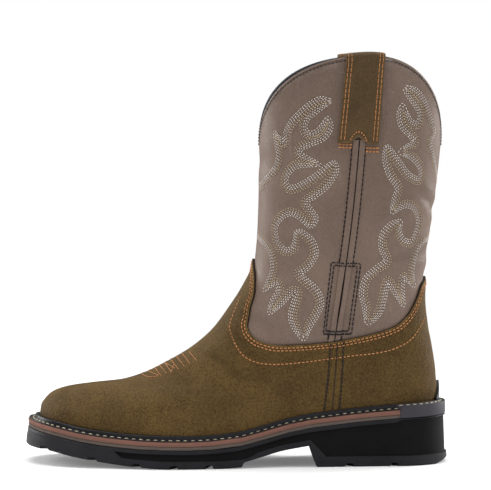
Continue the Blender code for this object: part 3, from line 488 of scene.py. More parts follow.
def smooth_line(points: Array, per_span: int, closed: bool = False) -> Array:
    """Smooth line through points read off the photograph.

    Args:
        points: rows of numbers, one row for each point.
        per_span: points put between each pair.
        closed: whether the line returns to its start.

    Returns:
        Rows of the denser line.
    """
    points = np.asarray(points, float)
    if closed:
        padded = np.vstack((points[-1:], points, points[:2]))
    else:
        padded = np.vstack((2 * points[:1] - points[1:2], points,
                            2 * points[-1:] - points[-2:-1]))
    t = np.linspace(0.0, 1.0, per_span, endpoint=False)[:, None]
    spans = []
    for a, b, c, d in zip(padded, padded[1:], padded[2:], padded[3:]):
        spans.append(0.5 * (2 * b + (c - a) * t + (2 * a - 5 * b + 4 * c - d) * t ** 2
                            + (3 * b - a - 3 * c + d) * t ** 3))
    end = points[:1] if closed else points[-1:]
    return np.vstack(spans + [end])


def halved(shape: tuple[int, ...], top: float, below: Callable[[Array], Array]) -> Array:
    """Levels at which places reach their marks, found by halving.

    Args:
        shape: shape of the array of levels.
        top: highest level.
        below: tells which places are below their marks on given levels.

    Returns:
        Levels.
    """
    low = np.zeros(shape)
    high = np.full_like(low, top)
    for _ in range(HALVINGS):
        middle = (low + high) / 2
        under = below(middle)
        low = np.where(under, middle, low)
        high = np.where(under, high, middle)
    return (low + high) / 2


def read_line(rows: Array, along: Array, where: Array) -> Array:
    """Rows of a line read at distances along it."""
    return np.stack([np.interp(where, along, rows[:, i]) for i in range(3)], axis=-1)


@dataclass(frozen=True)
class Crease:
    """Soft trough or ridge in the leather, placed as seen from the side.

    The line runs from start to end and bows across by its bow; a positive depth is a trough.
    """

    start: tuple[float, float]
    end: tuple[float, float]
    depth: float
    width: float
    bow: float = 0.0

    def press(self, x: Array, z: Array) -> Array:
        """Depth that the crease takes out of the leather.

        Args:
            x: positions along the boot.
            z: heights.

        Returns:
            Depth at each position, positive inwards.
        """
        start, end = np.array(self.start), np.array(self.end)
        run = end - start
        length = float(np.hypot(*run))
        along_x, along_z = run / length
        share = ((x - start[0]) * along_x + (z - start[1]) * along_z) / length
        away = -(x - start[0]) * along_z + (z - start[1]) * along_x
        away = away - self.bow * 4.0 * share * (1.0 - share)
        fade = np.clip(np.minimum(share, 1.0 - share) * 4.0 + 0.15, 0.0, 1.0)
        fade = fade * fade * (3.0 - 2.0 * fade)
        trough = np.exp(-(away / self.width) ** 2)
        shoulder = 0.45 * np.exp(-((np.abs(away) - 1.9 * self.width) / self.width) ** 2)
        return self.depth * fade * (trough - shoulder)


CREASES = (
    Crease((-0.022, 0.083), (0.004, 0.060), 0.0010, 0.0042, 0.002),
    Crease((-0.010, 0.097), (0.018, 0.072), 0.0009, 0.0045, 0.003),
    Crease((0.000, 0.112), (0.030, 0.092), 0.0007, 0.0042, 0.003),
    Crease((-0.048, 0.066), (-0.026, 0.048), 0.0007, 0.0044, 0.001),
    Crease((0.128, 0.205), (0.150, 0.178), 0.0009, 0.0030, 0.002),
    Crease((0.118, 0.199), (0.146, 0.196), 0.0006, 0.0026, -0.002),
    Crease((0.020, 0.166), (0.060, 0.158), 0.0007, 0.0055, 0.002),
    Crease((0.100, 0.150), (0.146, 0.160), 0.0008, 0.0055, -0.002),
    Crease((0.108, 0.135), (0.146, 0.140), 0.0006, 0.0050, -0.002),
    Crease((0.012, 0.225), (0.046, 0.206), 0.0006, 0.0070, 0.003),
    Crease((0.060, 0.112), (0.100, 0.106), 0.0005, 0.0060, 0.002),
)


class BootForm:
    """Outer surface of the boot's upper and the outline of its sole, in numbers."""

    def __init__(self) -> None:
        """Read the tables into curves."""
        at = [row.at for row in SOLE_PLAN]
        self.plan_half = Curve(at, [row.width * row.share / 2 for row in SOLE_PLAN])
        self.plan_lean = Curve(at, [row.lean * SIDE_SWING for row in SOLE_PLAN])
        places = [row.at for row in SOLE_TOP]
        self.top_toe = Curve(places, [row.toe for row in SOLE_TOP])
        self.top_heel = Curve(places, [row.heel for row in SOLE_TOP])
        self.vamp_drop = Curve(*zip(*VAMP_EDGE))
        self.counter_climb = Curve(*zip(*COUNTER_EDGE))
        self.seam_line = Curve(*zip(*SIDE_SEAM))
        self.centring = self.find_centring()
        self.toe_x = -SOLE_LENGTH / 2 + WELT_TOE + OVERLAY_OUT
        self.heel_x = SOLE_LENGTH / 2 - WELT_HEEL - OVERLAY_OUT
        self.foot_half = BALL_WIDTH / 2 - WELT_SIDE - OVERLAY_OUT
        self.toe_z = float(self.sole_top(self.toe_x)) + CLEARANCE
        self.heel_z = float(self.sole_top(self.heel_x)) + CLEARANCE
        self.rings = self.read_rings()
        self.top = float(len(FOOT_RINGS) + len(SHAFT_RINGS) - 1)

    def find_centring(self) -> float:
        """Shift across that puts the outline's widest points at equal distances."""
        _, low, high = self.raw_edges(np.linspace(0.0, 1.0, 401), 0.0)
        return float(-(low.min() + high.max()) / 2)

    def raw_edges(self, along: Array, inset: float) -> tuple[Array, Array, Array]:
        """Outline of the sole before it is centred across.

        Args:
            along: shares of the sole's length from the toe.
            inset: distance inside the outline.

        Returns:
            X, outer Y and inner Y.
        """
        x = mix(-SOLE_LENGTH / 2 + inset, SOLE_LENGTH / 2 - inset, along)
        round_off = (rounded(along / (TOE_ROUND / SOLE_LENGTH))
                     * rounded((1.0 - along) / (HEEL_ROUND / SOLE_LENGTH)))
        half = (self.plan_half(along) - inset) * round_off
        return x, self.plan_lean(along) - half, self.plan_lean(along) + half

    def sole_top(self, x: float | Array) -> Array:
        """Height of the midsole's top at X positions."""
        along = np.asarray(x) / SOLE_LENGTH + 0.5
        return FOREPART_THICKNESS + TOE_SPRING * self.top_toe(along) + (
            HEEL_RISE * self.top_heel(along))

    def read_rings(self) -> dict[str, Curve]:
        """Real sizes of every ring, as one curve over the level for each size."""
        ankle_back = SOLE_LENGTH / 2 - ANKLE_SET
        ankle_front = ankle_back - ANKLE_DEPTH
        collar_back = SOLE_LENGTH / 2 - COLLAR_SET
        collar_front = collar_back - COLLAR_DEPTH
        rows = []
        for row in FOOT_RINGS:
            rows.append({
                "front_x": mix(self.toe_x, ankle_front, row.front),
                "front_z": mix(self.toe_z, ANKLE_HEIGHT, row.climb),
                "back_x": mix(self.heel_x, ankle_back, row.back),
                "back_z": mix(self.heel_z, ANKLE_BACK_HEIGHT, row.lift),
                "half": row.girth * mix(self.foot_half, ANKLE_WIDTH / 2, row.ankle),
                "pinch": row.pinch, "nose": row.nose, "tail": row.tail,
                "drop": row.drop, "lean": row.lean, "hump": 0.0})
        for row in SHAFT_RINGS:
            rows.append({
                "front_x": mix(ankle_front, collar_front, row.front),
                "front_z": mix(ANKLE_HEIGHT, COLLAR_HEIGHT, row.rise),
                "back_x": mix(ankle_back, collar_back, row.back),
                "back_z": mix(ANKLE_BACK_HEIGHT, COLLAR_HEIGHT, row.rise),
                "half": mix(ANKLE_WIDTH, COLLAR_WIDTH, row.width) / 2,
                "pinch": 0.0, "nose": 0.5, "tail": 0.5, "drop": 0.0, "lean": 0.0,
                "hump": COLLAR_RISE * row.hump})
        levels = list(range(len(rows)))
        return {name: Curve(levels, [row[name] for row in rows]) for name in rows[0]}

    def ring_height(self, along: Array, level: Array) -> Array:
        """Height of a ring.

        Args:
            along: share of the ring's length from its front.
            level: ring number, 0 at the feather edge.

        Returns:
            Heights.
        """
        ring = self.rings
        x = mix(self.toe_x, self.heel_x, along)
        sag = mix(self.toe_z, self.heel_z, along) - self.sole_top(x) - CLEARANCE
        crown = (rounded(along / CROWN_NOSE, CROWN_POWER)
                 * rounded((1.0 - along) / CROWN_TAIL, CROWN_POWER))
        return (mix(ring["front_z"](level), ring["back_z"](level), along)
                - ring["drop"](level) * sag + ring["hump"](level) * crown)

    def skin(self, turn: Array, level: Array) -> Array:
        """Points of the upper's outer face without creases.

        Args:
            turn: angle round the boot, 0 in front and positive on the inner side.
            level: ring number.

        Returns:
            Points, with X, Y and Z in the last axis.
        """
        turn, level = np.broadcast_arrays(np.asarray(turn, float), np.asarray(level, float))
        ring = self.rings
        along = (1.0 - np.cos(turn)) / 2
        x = mix(ring["front_x"](level), ring["back_x"](level), along)
        body = (self.plan_half(along) - WELT_SIDE - OVERLAY_OUT) / self.foot_half
        ends = (rounded(along / ring["nose"](level))
                * rounded((1.0 - along) / ring["tail"](level)))
        half = ring["half"](level) * (1.0 - ring["pinch"](level) * (1.0 - body)) * ends
        y = (self.centring + ring["lean"](level) * self.plan_lean(along)
             + np.copysign(half, np.sin(turn)))
        return np.stack((x, y, self.ring_height(along, level)), axis=-1)

    def skin_frame(self, turn: Array, level: Array) -> tuple[Array, Array, Array]:
        """Points, outward normals and directions round the boot.

        Args:
            turn: angle round the boot.
            level: ring number.

        Returns:
            Points, normals and tangents.
        """
        turn, level = np.broadcast_arrays(np.asarray(turn, float), np.asarray(level, float))
        around = self.skin(turn + TURN_STEP, level) - self.skin(turn - TURN_STEP, level)
        tips = np.abs(np.sin(turn)) < 2 * TURN_STEP
        straight = np.stack((np.zeros_like(turn), np.cos(turn), np.zeros_like(turn)), axis=-1)
        around = unit(np.where(tips[..., None], straight, around))
        high = np.minimum(level + LEVEL_STEP, self.top)
        low = np.maximum(level - LEVEL_STEP, 0.0)
        upward = unit(self.skin(turn, high) - self.skin(turn, low))
        normal = np.cross(upward, around)
        normal[..., 2] *= np.minimum(1.0, level)
        return self.skin(turn, level), unit(normal), around

    def crease_depth(self, points: Array) -> Array:
        """Depth of all creases together at points of the surface."""
        x, z = points[..., 0], points[..., 2]
        return sum(crease.press(x, z) for crease in CREASES)

    def on(self, turn: Array, level: Array, distance: float | Array) -> Array:
        """Points at a distance outside the creased leather.

        Args:
            turn: angle round the boot.
            level: ring number.
            distance: distance outside the upper's face.

        Returns:
            Points.
        """
        points, normal, _ = self.skin_frame(turn, level)
        reach = np.asarray(distance) - self.crease_depth(points)
        moved = points + normal * reach[..., None]
        low = np.broadcast_to(np.asarray(level) == 0.0, moved.shape[:-1])
        floor = self.sole_top(moved[..., 0]) + CLEARANCE
        moved[..., 2] = np.where(low, floor, moved[..., 2])
        return moved

    def seam_turn(self, level: Array) -> Array:
        """Turn at which the inner side seam stands on each level."""
        level = np.asarray(level, float)
        front, back = self.rings["front_x"](level), self.rings["back_x"](level)
        along = np.full_like(level, 0.5)
        for _ in range(SEAM_STEPS):
            height = self.ring_height(along, level) / (COLLAR_HEIGHT + COLLAR_RISE)
            x = (self.seam_line(height) - 0.5) * SOLE_LENGTH
            along = (x - front) / (back - front)
        return np.arccos(1.0 - 2.0 * along)

    def column_turn(self, share: Array, level: Array) -> Array:
        """Turn of a column that runs up the boot.

        Args:
            share: 0 in front, 1 at the side seam and 2 at the back.
            level: ring number.

        Returns:
            Turns on the inner side.
        """
        seam = self.seam_turn(level)
        return np.where(share <= 1.0, share * seam, mix(seam, math.pi, share - 1.0))

    def column_level(self, share: Array, height: Array) -> Array:
        """Level at which columns reach heights."""
        return halved(np.broadcast(share, height).shape, self.top, lambda level: self.skin(
            self.column_turn(share, level), level)[..., 2] < height)

    def edge_level(self, share: Array) -> Array:
        """Level of the brown leather's top edge on a column."""
        share = np.asarray(share, float)
        vamp = mix(VAMP_PEAK_HEIGHT, VAMP_SIDE_HEIGHT, self.vamp_drop(share))
        counter = mix(VAMP_SIDE_HEIGHT, COUNTER_PEAK_HEIGHT, self.counter_climb(share - 1.0))
        return self.column_level(share, np.where(share <= 1.0, vamp, counter))

    def turn_level(self, turn: Array, height: Array) -> Array:
        """Level at which lines of one turn reach heights."""
        return halved(np.broadcast(turn, height).shape, self.top,
                      lambda level: self.skin(turn, level)[..., 2] < height)

    def ring_share(self, x: Array, level: Array) -> Array:
        """Share of a ring's length at X positions."""
        front, back = self.rings["front_x"](level), self.rings["back_x"](level)
        return np.clip((x - front) / (back - front), 0.0, 1.0)

    def side_place(self, x: Array, z: Array) -> tuple[Array, Array]:
        """Turn and level of points given as seen from the side.

        Args:
            x: positions along the boot.
            z: heights.

        Returns:
            Turns on the inner side, and levels.
        """
        level = halved(np.shape(x), self.top,
                       lambda tried: self.ring_height(self.ring_share(x, tried), tried) < z)
        return np.arccos(1.0 - 2.0 * self.ring_share(x, level)), level

    def photo_place(self, px: Array, py: Array, distance: float) -> tuple[Array, Array]:
        """Turn and level of pixels that show the boot's outer side.

        Args:
            px: columns of the photograph.
            py: rows of the photograph.
            distance: distance of what they show outside the upper's face.

        Returns:
            Turns, as positive numbers, and levels.
        """
        target = np.stack((px, py), axis=-1).astype(float)
        aim = target.copy()
        for _ in range(PHOTO_STEPS):
            turn, level = self.ray_place(aim[:, 0], aim[:, 1])
            miss = target - pixel_of(self.on(-turn, level, distance))
            aim += 0.8 * np.clip(miss, -3.0, 3.0)
        return turn, level

    def ray_place(self, px: Array, py: Array) -> tuple[Array, Array]:
        """Turn and level where the rays of pixels meet the bare outer side."""
        eye, right, up, ahead = camera_axes()
        reach = SENSOR_MM / LENS_MM / PHOTO_WIDTH
        across = (np.asarray(px, float) - PHOTO_WIDTH / 2) * reach
        above = (PHOTO_HEIGHT / 2 - np.asarray(py, float)) * reach
        ray = ahead + across[:, None] * right + above[:, None] * up
        y = np.full(len(ray), -ANKLE_WIDTH / 2)
        for _ in range(RAY_STEPS):
            t = (y - eye[1]) / ray[:, 1]
            hit = eye + ray * t[:, None]
            turn, level = self.side_place(hit[:, 0], hit[:, 2])
            y = mix(y, self.skin(-turn, level)[:, 1], 0.7)
        return turn, level


def camera_axes() -> tuple[Array, Array, Array, Array]:
    """Place of the camera and its right, up and forward directions."""
    out = np.array((math.sin(CAMERA_AZIMUTH) * math.cos(CAMERA_ELEVATION),
                    -math.cos(CAMERA_AZIMUTH) * math.cos(CAMERA_ELEVATION),
                    math.sin(CAMERA_ELEVATION)))
    eye = np.array(CAMERA_AIM) + out * CAMERA_DISTANCE
    right = np.array((math.cos(CAMERA_AZIMUTH), math.sin(CAMERA_AZIMUTH), 0.0))
    up = np.cross(right, -out)
    return eye, right, up, -out


def pixel_of(points: Array) -> Array:
    """Column and row of the photograph that show points."""
    eye, right, up, ahead = camera_axes()
    away = points - eye
    scale = LENS_MM / SENSOR_MM * PHOTO_WIDTH / (away @ ahead)
    return np.stack((PHOTO_WIDTH / 2 + (away @ right) * scale,
                     PHOTO_HEIGHT / 2 - (away @ up) * scale), axis=-1)


FORM = BootForm()


class Graph:
    """Node tree that is being wired."""

    def __init__(self, tree: NodeTree) -> None:
        """Keep the tree."""
        self.tree = tree

    def place(self) -> NodeSocket:
        """Position in the object's own coordinates."""
        return self.node("TexCoord").outputs["Object"]

    def node(self, kind: str, settings: dict | None = None, **inputs: object) -> Node:
        """Add a node.

        Args:
            kind: type of the node, without its leading ShaderNode.
            settings: properties of the node by name.
            inputs: sockets by name with spaces as underscores; a socket is linked to its value.

        Returns:
            The node.
        """
        made = self.tree.nodes.new("ShaderNode" + kind)
        for name, value in (settings or {}).items():
            setattr(made, name, value)
        for name, value in inputs.items():
            self.feed(made.inputs[name.replace("_", " ")], value)
        return made

    def feed(self, socket: NodeSocket, value: object) -> None:
        """Link a socket to its value, or set it."""
        if isinstance(value, NodeSocket):
            self.tree.links.new(value, socket)
        elif isinstance(value, tuple) and len(value) == 3 and socket.type == "RGBA":
            socket.default_value = (*value, 1.0)
        else:
            socket.default_value = value

    def noise(self, scale: object, detail: float = 2.0, **inputs: object) -> NodeSocket:
        """Strength of a noise that fills the object."""
        inputs.setdefault("Vector", self.place())
        return self.node("TexNoise", Scale=scale, Detail=detail, **inputs).outputs["Fac"]

    def blend(self, factor: object, first: object, second: object) -> NodeSocket:
        """Colour between two colours by a factor."""
        made = self.tree.nodes.new("ShaderNodeMix")
        made.data_type = "RGBA"
        self.feed(made.inputs[0], factor)
        self.feed(made.inputs[6], first)
        self.feed(made.inputs[7], second)
        return made.outputs[2]

    def ranged(self, value: object, low: float, high: float, start: float,
               end: float) -> NodeSocket:
        """Value moved smoothly from one range to another."""
        made = self.node("MapRange", {"interpolation_type": "SMOOTHSTEP"}, Value=value)
        return settle(made, From_Min=low, From_Max=high, To_Min=start, To_Max=end).outputs[0]

    def sum(self, kind: str, first: object, second: object) -> NodeSocket:
        """Result of a maths operation on two values."""
        made = self.tree.nodes.new("ShaderNodeMath")
        made.operation = kind
        self.feed(made.inputs[0], first)
        self.feed(made.inputs[1], second)
        return made.outputs[0]


def settle(node: Node, **values: object) -> Node:
    """Set a node's own sockets by name, with spaces as underscores."""
    for name, value in values.items():
        node.inputs[name.replace("_", " ")].default_value = value
    return node


def new_group(name: str, inputs: dict[str, float],
              outputs: tuple[str, ...]) -> tuple[NodeTree, Graph, Node, Node]:
    """Start a shared effect.

    Args:
        name: name of the effect.
        inputs: number sockets with their first values.
        outputs: names of the numbers that it puts out.

    Returns:
        The group, its graph, and its input and output nodes.
    """
    tree = bpy.data.node_groups.new(name, "ShaderNodeTree")
    for title, value in inputs.items():
        socket = tree.interface.new_socket(name=title, in_out="INPUT",
                                           socket_type="NodeSocketFloat")
        socket.default_value = value
    for title in outputs:
        tree.interface.new_socket(name=title, in_out="OUTPUT", socket_type="NodeSocketFloat")
    graph = Graph(tree)
    return (tree, graph, tree.nodes.new("NodeGroupInput"), tree.nodes.new("NodeGroupOutput"))


class Effects:
    """Effects that several materials share, each built once."""

    def __init__(self) -> None:
        """Build the groups."""
        self.grain = self.make_grain()
        self.mottle = self.make_mottle()
        self.wear_and_painted_light = self.make_wear_and_painted_light()
        self.twist = self.make_twist()
        self.scuff = self.make_scuff()

    @staticmethod
    def make_grain() -> NodeTree:
        """Leather grain: pebbles, pores and a fine nap."""
        tree, graph, given, out = new_group(
            "grain", {"Pebble Scale": 700.0, "Nap": 0.3}, ("Height", "Pores"))
        place = graph.place()
        warp = graph.node("TexNoise", Vector=place, Scale=90.0, Detail=2.0)
        bent = graph.node("VectorMath", {"operation": "MULTIPLY_ADD"})
        graph.feed(bent.inputs[0], warp.outputs["Color"])
        bent.inputs[1].default_value = (0.0016, 0.0016, 0.0016)
        graph.feed(bent.inputs[2], place)
        pebble = graph.node("TexVoronoi", {"feature": "SMOOTH_F1"}, Vector=bent.outputs[0],
                            Scale=given.outputs["Pebble Scale"], Smoothness=0.6)
        nap = graph.noise(2600.0, 3.0, Roughness=0.7)
        soft = graph.ranged(pebble.outputs["Distance"], 0.0, 0.75, 1.0, 0.0)
        nap_height = graph.sum("MULTIPLY", nap, given.outputs["Nap"])
        graph.feed(out.inputs["Height"], graph.sum("ADD", soft, nap_height))
        graph.feed(out.inputs["Pores"],
                   graph.ranged(pebble.outputs["Distance"], 0.45, 0.85, 0.0, 1.0))
        return tree

    @staticmethod
    def make_mottle() -> NodeTree:
        """Cloudy colour variation from large to small."""
        tree, graph, given, out = new_group(
            "mottle", {"Scale": 22.0, "Contrast": 1.0}, ("Mask", "Fine"))
        cloud = graph.noise(given.outputs["Scale"], 5.0, Roughness=0.62, Distortion=0.5)
        fine = graph.noise(760.0, 3.0, Roughness=0.6)
        centred = graph.sum("SUBTRACT", cloud, 0.5)
        spread = graph.sum("MULTIPLY", centred, given.outputs["Contrast"])
        moved = graph.sum("MULTIPLY_ADD", spread, 3.0)
        moved.node.inputs[2].default_value = 0.5
        moved.node.use_clamp = True
        graph.feed(out.inputs["Mask"], moved)
        graph.feed(out.inputs["Fine"], graph.ranged(fine, 0.3, 0.7, 0.0, 1.0))
        return tree

    @staticmethod
    def make_wear_and_painted_light() -> NodeTree:
        """Worn edges with a painted highlight, and painted shade in creases, from what the
        meshes carry, broken up by noise.
        """
        tree, graph, given, out = new_group("wear_and_painted_light", {"Amount": 1.0}, ("Rim", "Fold"))
        broken = graph.ranged(graph.noise(160.0, 4.0), 0.32, 0.66, 0.25, 1.0)
        for name in ("Rim", "Fold"):
            carried = graph.node("Attribute", {"attribute_name": name.lower()})
            masked = graph.sum("MULTIPLY", carried.outputs["Fac"], broken)
            graph.feed(out.inputs[name], graph.sum("MULTIPLY", masked, given.outputs["Amount"]))
        return tree

    @staticmethod
    def make_scuff() -> NodeTree:
        """Thin scratches in two directions, and dark specks."""
        tree, graph, given, out = new_group("scuff", {"Amount": 1.0}, ("Scratch", "Speck"))
        masks = []
        for turn, stretch in ((0.5, (1.0, 1.0, 0.05)), (-0.9, (0.06, 1.0, 1.0))):
            laid = settle(graph.node("Mapping", Vector=graph.place()),
                          Rotation=(0.0, turn, 0.0), Scale=stretch)
            lines = graph.noise(420.0, Vector=laid.outputs[0])
            masks.append(graph.ranged(lines, 0.66, 0.72, 0.0, 1.0))
        both = graph.sum("MAXIMUM", masks[0], masks[1])
        here = graph.ranged(graph.noise(30.0), 0.48, 0.62, 0.0, 1.0)
        some = graph.sum("MULTIPLY", both, here)
        graph.feed(out.inputs["Scratch"], graph.sum("MULTIPLY", some, given.outputs["Amount"]))
        dots = graph.noise(640.0, Roughness=0.5)
        graph.feed(out.inputs["Speck"], graph.ranged(dots, 0.62, 0.74, 0.0, 1.0))
        return tree

    @staticmethod
    def make_twist() -> NodeTree:
        """Fine variation along thread."""
        tree, graph, given, out = new_group("twist", {"Scale": 900.0}, ("Height", "Shade"))
        strands = graph.noise(given.outputs["Scale"])
        graph.feed(out.inputs["Height"], strands)
        graph.feed(out.inputs["Shade"], graph.ranged(strands, 0.3, 0.7, 0.0, 1.0))
        return tree


EFFECTS = Effects()


def place_effect(graph: Graph, tree: NodeTree, **values: float) -> Node:
    """Put a shared effect into a material with its own values.

    Args:
        graph: graph of the material.
        tree: the effect.
        values: its number sockets by name, with spaces as underscores.

    Returns:
        The group's node.
    """
    return settle(graph.node("Group", {"node_tree": tree}), **values)


def start_material(name: str) -> tuple[Material, Graph, Node]:
    """New material with its graph and its shader."""
    made = bpy.data.materials.new(name)
    made.use_nodes = True
    return made, Graph(made.node_tree), made.node_tree.nodes["Principled BSDF"]


def wire_shader(graph: Graph, shader: Node, colour: object, rough: object,
                height: object, gloss: float, strength: float, depth: float) -> None:
    """Wire what every finish of the boot gives its shader.

    Args:
        graph: graph of the material.
        shader: its shader.
        colour: base colour.
        rough: roughness.
        height: height of the surface's fine relief.
        gloss: level of the mirror reflection.
        strength: strength of the relief.
        depth: depth of the relief.
    """
    graph.feed(shader.inputs["Base Color"], colour)
    graph.feed(shader.inputs["Roughness"], rough)
    settle(shader, Specular_IOR_Level=gloss)
    bump = graph.node("Bump", Height=height, Strength=strength, Distance=depth)
    graph.feed(shader.inputs["Normal"], bump.outputs["Normal"])


@dataclass(frozen=True)
class Leather:
    """Finish of a leather: colours, grain, nap, wear, a painted highlight on edges and painted
    shade in creases.
    """

    name: str
    base: Colour
    dark: Colour
    worn_and_highlight: Colour
    roughness: float = 0.55
    gloss: float = 0.35
    sheen: float = 0.0
    pebble_scale: float = 700.0
    grain_depth: float = 0.00012
    nap: float = 0.3
    cloud_scale: float = 22.0
    contrast: float = 1.0
    fleck: float = 0.3
    pores: float = 0.45
    specks: float = 0.3
    scratches: float = 0.3

    def build(self) -> Material:
        """Make the material."""
        made, graph, shader = start_material(self.name)
        grain = place_effect(graph, EFFECTS.grain, Pebble_Scale=self.pebble_scale, Nap=self.nap)
        cloud = place_effect(graph, EFFECTS.mottle, Scale=self.cloud_scale,
                             Contrast=self.contrast)
        wear_and_painted_light = place_effect(graph, EFFECTS.wear_and_painted_light)
        colour = graph.blend(cloud.outputs["Mask"], self.dark, self.base)
        fleck = graph.sum("MULTIPLY", cloud.outputs["Fine"], self.fleck)
        colour = graph.blend(fleck, colour, self.worn_and_highlight)
        pores = graph.sum("MULTIPLY", grain.outputs["Pores"], self.pores)
        colour = graph.blend(pores, colour, self.dark)
        scuff = place_effect(graph, EFFECTS.scuff, Amount=self.scratches)
        dots = graph.sum("MULTIPLY", scuff.outputs["Speck"], self.specks)
        deep = tuple(0.35 * c for c in self.dark)
        colour = graph.blend(dots, colour, deep)
        colour = graph.blend(scuff.outputs["Scratch"], colour, self.worn_and_highlight)
        # Painted shade: the leather darkens in the crease troughs
        colour = graph.blend(wear_and_painted_light.outputs["Fold"], colour, self.dark)
        # Lighter along edges: edge wear and a painted highlight
        colour = graph.blend(wear_and_painted_light.outputs["Rim"], colour, self.worn_and_highlight)
        rough = graph.ranged(cloud.outputs["Fine"], 0.0, 1.0, self.roughness - 0.06,
                             self.roughness + 0.08)
        settle(shader, Sheen_Weight=self.sheen)
        wire_shader(graph, shader, colour, rough, grain.outputs["Height"], self.gloss, 0.8,
                    self.grain_depth)
        made.diffuse_color = (*self.base, 1.0)
        return made


@dataclass(frozen=True)
class Moulded:
    """Finish of a moulded or foamed layer."""

    name: str
    base: Colour
    marked: Colour
    roughness: float = 0.5
    gloss: float = 0.5
    speck_scale: float = 900.0
    speck_depth: float = 0.00006
    cloud_scale: float = 40.0

    def build(self) -> Material:
        """Make the material."""
        made, graph, shader = start_material(self.name)
        cloud = place_effect(graph, EFFECTS.mottle, Scale=self.cloud_scale, Contrast=0.8)
        speck = graph.noise(self.speck_scale, 3.0)
        mask = graph.sum("MULTIPLY", cloud.outputs["Mask"], 0.6)
        colour = graph.blend(mask, self.base, self.marked)
        rough = graph.ranged(speck, 0.3, 0.7, self.roughness - 0.05,
                             self.roughness + 0.10)
        wire_shader(graph, shader, colour, rough, speck, self.gloss, 0.7,
                    self.speck_depth)
        made.diffuse_color = (*self.base, 1.0)
        return made


@dataclass(frozen=True)
class ThreadFinish:
    """Finish of a sewing thread."""

    name: str
    base: Colour
    shade: Colour
    roughness: float = 0.55

    def build(self) -> Material:
        """Make the material."""
        made, graph, shader = start_material(self.name)
        twist = place_effect(graph, EFFECTS.twist)
        colour = graph.blend(twist.outputs["Shade"], self.shade, self.base)
        rough = graph.ranged(twist.outputs["Shade"], 0.0, 1.0, self.roughness + 0.1,
                             self.roughness)
        wire_shader(graph, shader, colour, rough, twist.outputs["Height"], 0.4, 0.6, 0.0001)
        made.diffuse_color = (*self.base, 1.0)
        return made


SHAFT_LEATHER = Leather("taupe_shaft_leather", (0.224, 0.153, 0.115), (0.150, 0.100, 0.074),
                        (0.34, 0.26, 0.215), roughness=0.50, gloss=0.30, pebble_scale=1150.0,
                        grain_depth=0.00006, nap=0.35, cloud_scale=16.0, contrast=0.9,
                        fleck=0.22, specks=0.18, scratches=0.35)
VAMP_LEATHER = Leather("oiled_vamp_leather", (0.112, 0.066, 0.020), (0.058, 0.033, 0.011),
                       (0.215, 0.138, 0.050), roughness=0.68, gloss=0.10, sheen=0.0,
                       pebble_scale=880.0, grain_depth=0.00040, nap=0.35, cloud_scale=26.0,
                       contrast=1.2, fleck=0.42, pores=0.75, specks=0.7, scratches=0.25)
STRAP_LEATHER = Leather("strap_leather", (0.106, 0.065, 0.028), (0.062, 0.037, 0.016),
                        (0.18, 0.12, 0.062), roughness=0.68, gloss=0.15, sheen=0.04,
                        pebble_scale=1400.0, grain_depth=0.00010, nap=0.8, cloud_scale=34.0,
                        fleck=0.35, specks=0.3, scratches=0.1)
LINING = Leather("shaft_lining", (0.036, 0.034, 0.040), (0.018, 0.017, 0.022),
                 (0.08, 0.075, 0.08), roughness=0.8, gloss=0.15, sheen=0.1, pebble_scale=1800.0,
                 grain_depth=0.00008, nap=1.0)
BINDING = Leather("edge_binding", (0.010, 0.011, 0.020), (0.006, 0.007, 0.011),
                  (0.03, 0.034, 0.048), roughness=0.5, gloss=0.3, pebble_scale=1600.0,
                  grain_depth=0.00006)
INSOLE = Leather("insole_leather", (0.30, 0.205, 0.125), (0.19, 0.125, 0.075),
                 (0.40, 0.29, 0.19), roughness=0.75, gloss=0.2, sheen=0.1)
OUTSOLE_RUBBER = Moulded("slate_outsole_rubber", (0.0088, 0.0086, 0.0106),
                         (0.021, 0.020, 0.024), roughness=0.52, gloss=0.22)
PANEL_RUBBER = Moulded("panel_rubber", (0.0036, 0.0034, 0.0038), (0.0080, 0.0074, 0.0076),
                       roughness=0.70, gloss=0.12, speck_scale=1500.0, speck_depth=0.00014)
WELT_RUBBER = Moulded("welt_rubber", (0.0075, 0.0075, 0.0095), (0.014, 0.014, 0.018),
                      roughness=0.34, gloss=0.28)
RAND_RUBBER = Moulded("rand_rubber", (0.040, 0.037, 0.046), (0.058, 0.053, 0.064),
                      roughness=0.50, gloss=0.22)
RUST_LAYER = Moulded("rust_layer", (0.225, 0.112, 0.084), (0.165, 0.082, 0.062),
                     roughness=0.78, gloss=0.12, speck_scale=1400.0, speck_depth=0.00012)
GREY_LAYER = Moulded("tan_grey_layer", (0.132, 0.104, 0.090), (0.094, 0.075, 0.066),
                     roughness=0.78, gloss=0.12, speck_scale=1400.0, speck_depth=0.00012)
ORANGE_THREAD = ThreadFinish("orange_thread", (0.72, 0.32, 0.12), (0.48, 0.20, 0.07))
BLACK_THREAD = ThreadFinish("black_thread", (0.010, 0.010, 0.016), (0.005, 0.005, 0.008))
WHITE_THREAD = ThreadFinish("off_white_thread", (0.90, 0.83, 0.77), (0.70, 0.63, 0.57))
TAN_THREAD = ThreadFinish("tan_thread", (0.66, 0.53, 0.38), (0.48, 0.38, 0.26))
CREAM_THREAD = ThreadFinish("cream_thread", (0.62, 0.54, 0.38), (0.40, 0.34, 0.24))
# Painted shade in the needle holes: dark flat patches between stitches
NEEDLE_SHADE = ThreadFinish("needle_holes", (0.040, 0.028, 0.022), (0.022, 0.015, 0.012), 0.8)
# Painted shadow line: near-black colour on the brown leather's cut edges
CUT_EDGE_SHADE = Leather("painted_cut_edge_shade", (0.022, 0.014, 0.009), (0.013, 0.009, 0.006),
                   (0.04, 0.027, 0.016), roughness=0.6, gloss=0.15)
# Painted shade on the floor of the side strip's slit
SLIT_SHADE = ThreadFinish("painted_slit_shade", (0.012, 0.009, 0.008), (0.006, 0.005, 0.004), 0.9)


def put(name: str, data: bpy.types.ID) -> Object:
    """Put a new object with its data into the scene."""
    made = bpy.data.objects.new(name, data)
    bpy.context.scene.collection.objects.link(made)
    return made


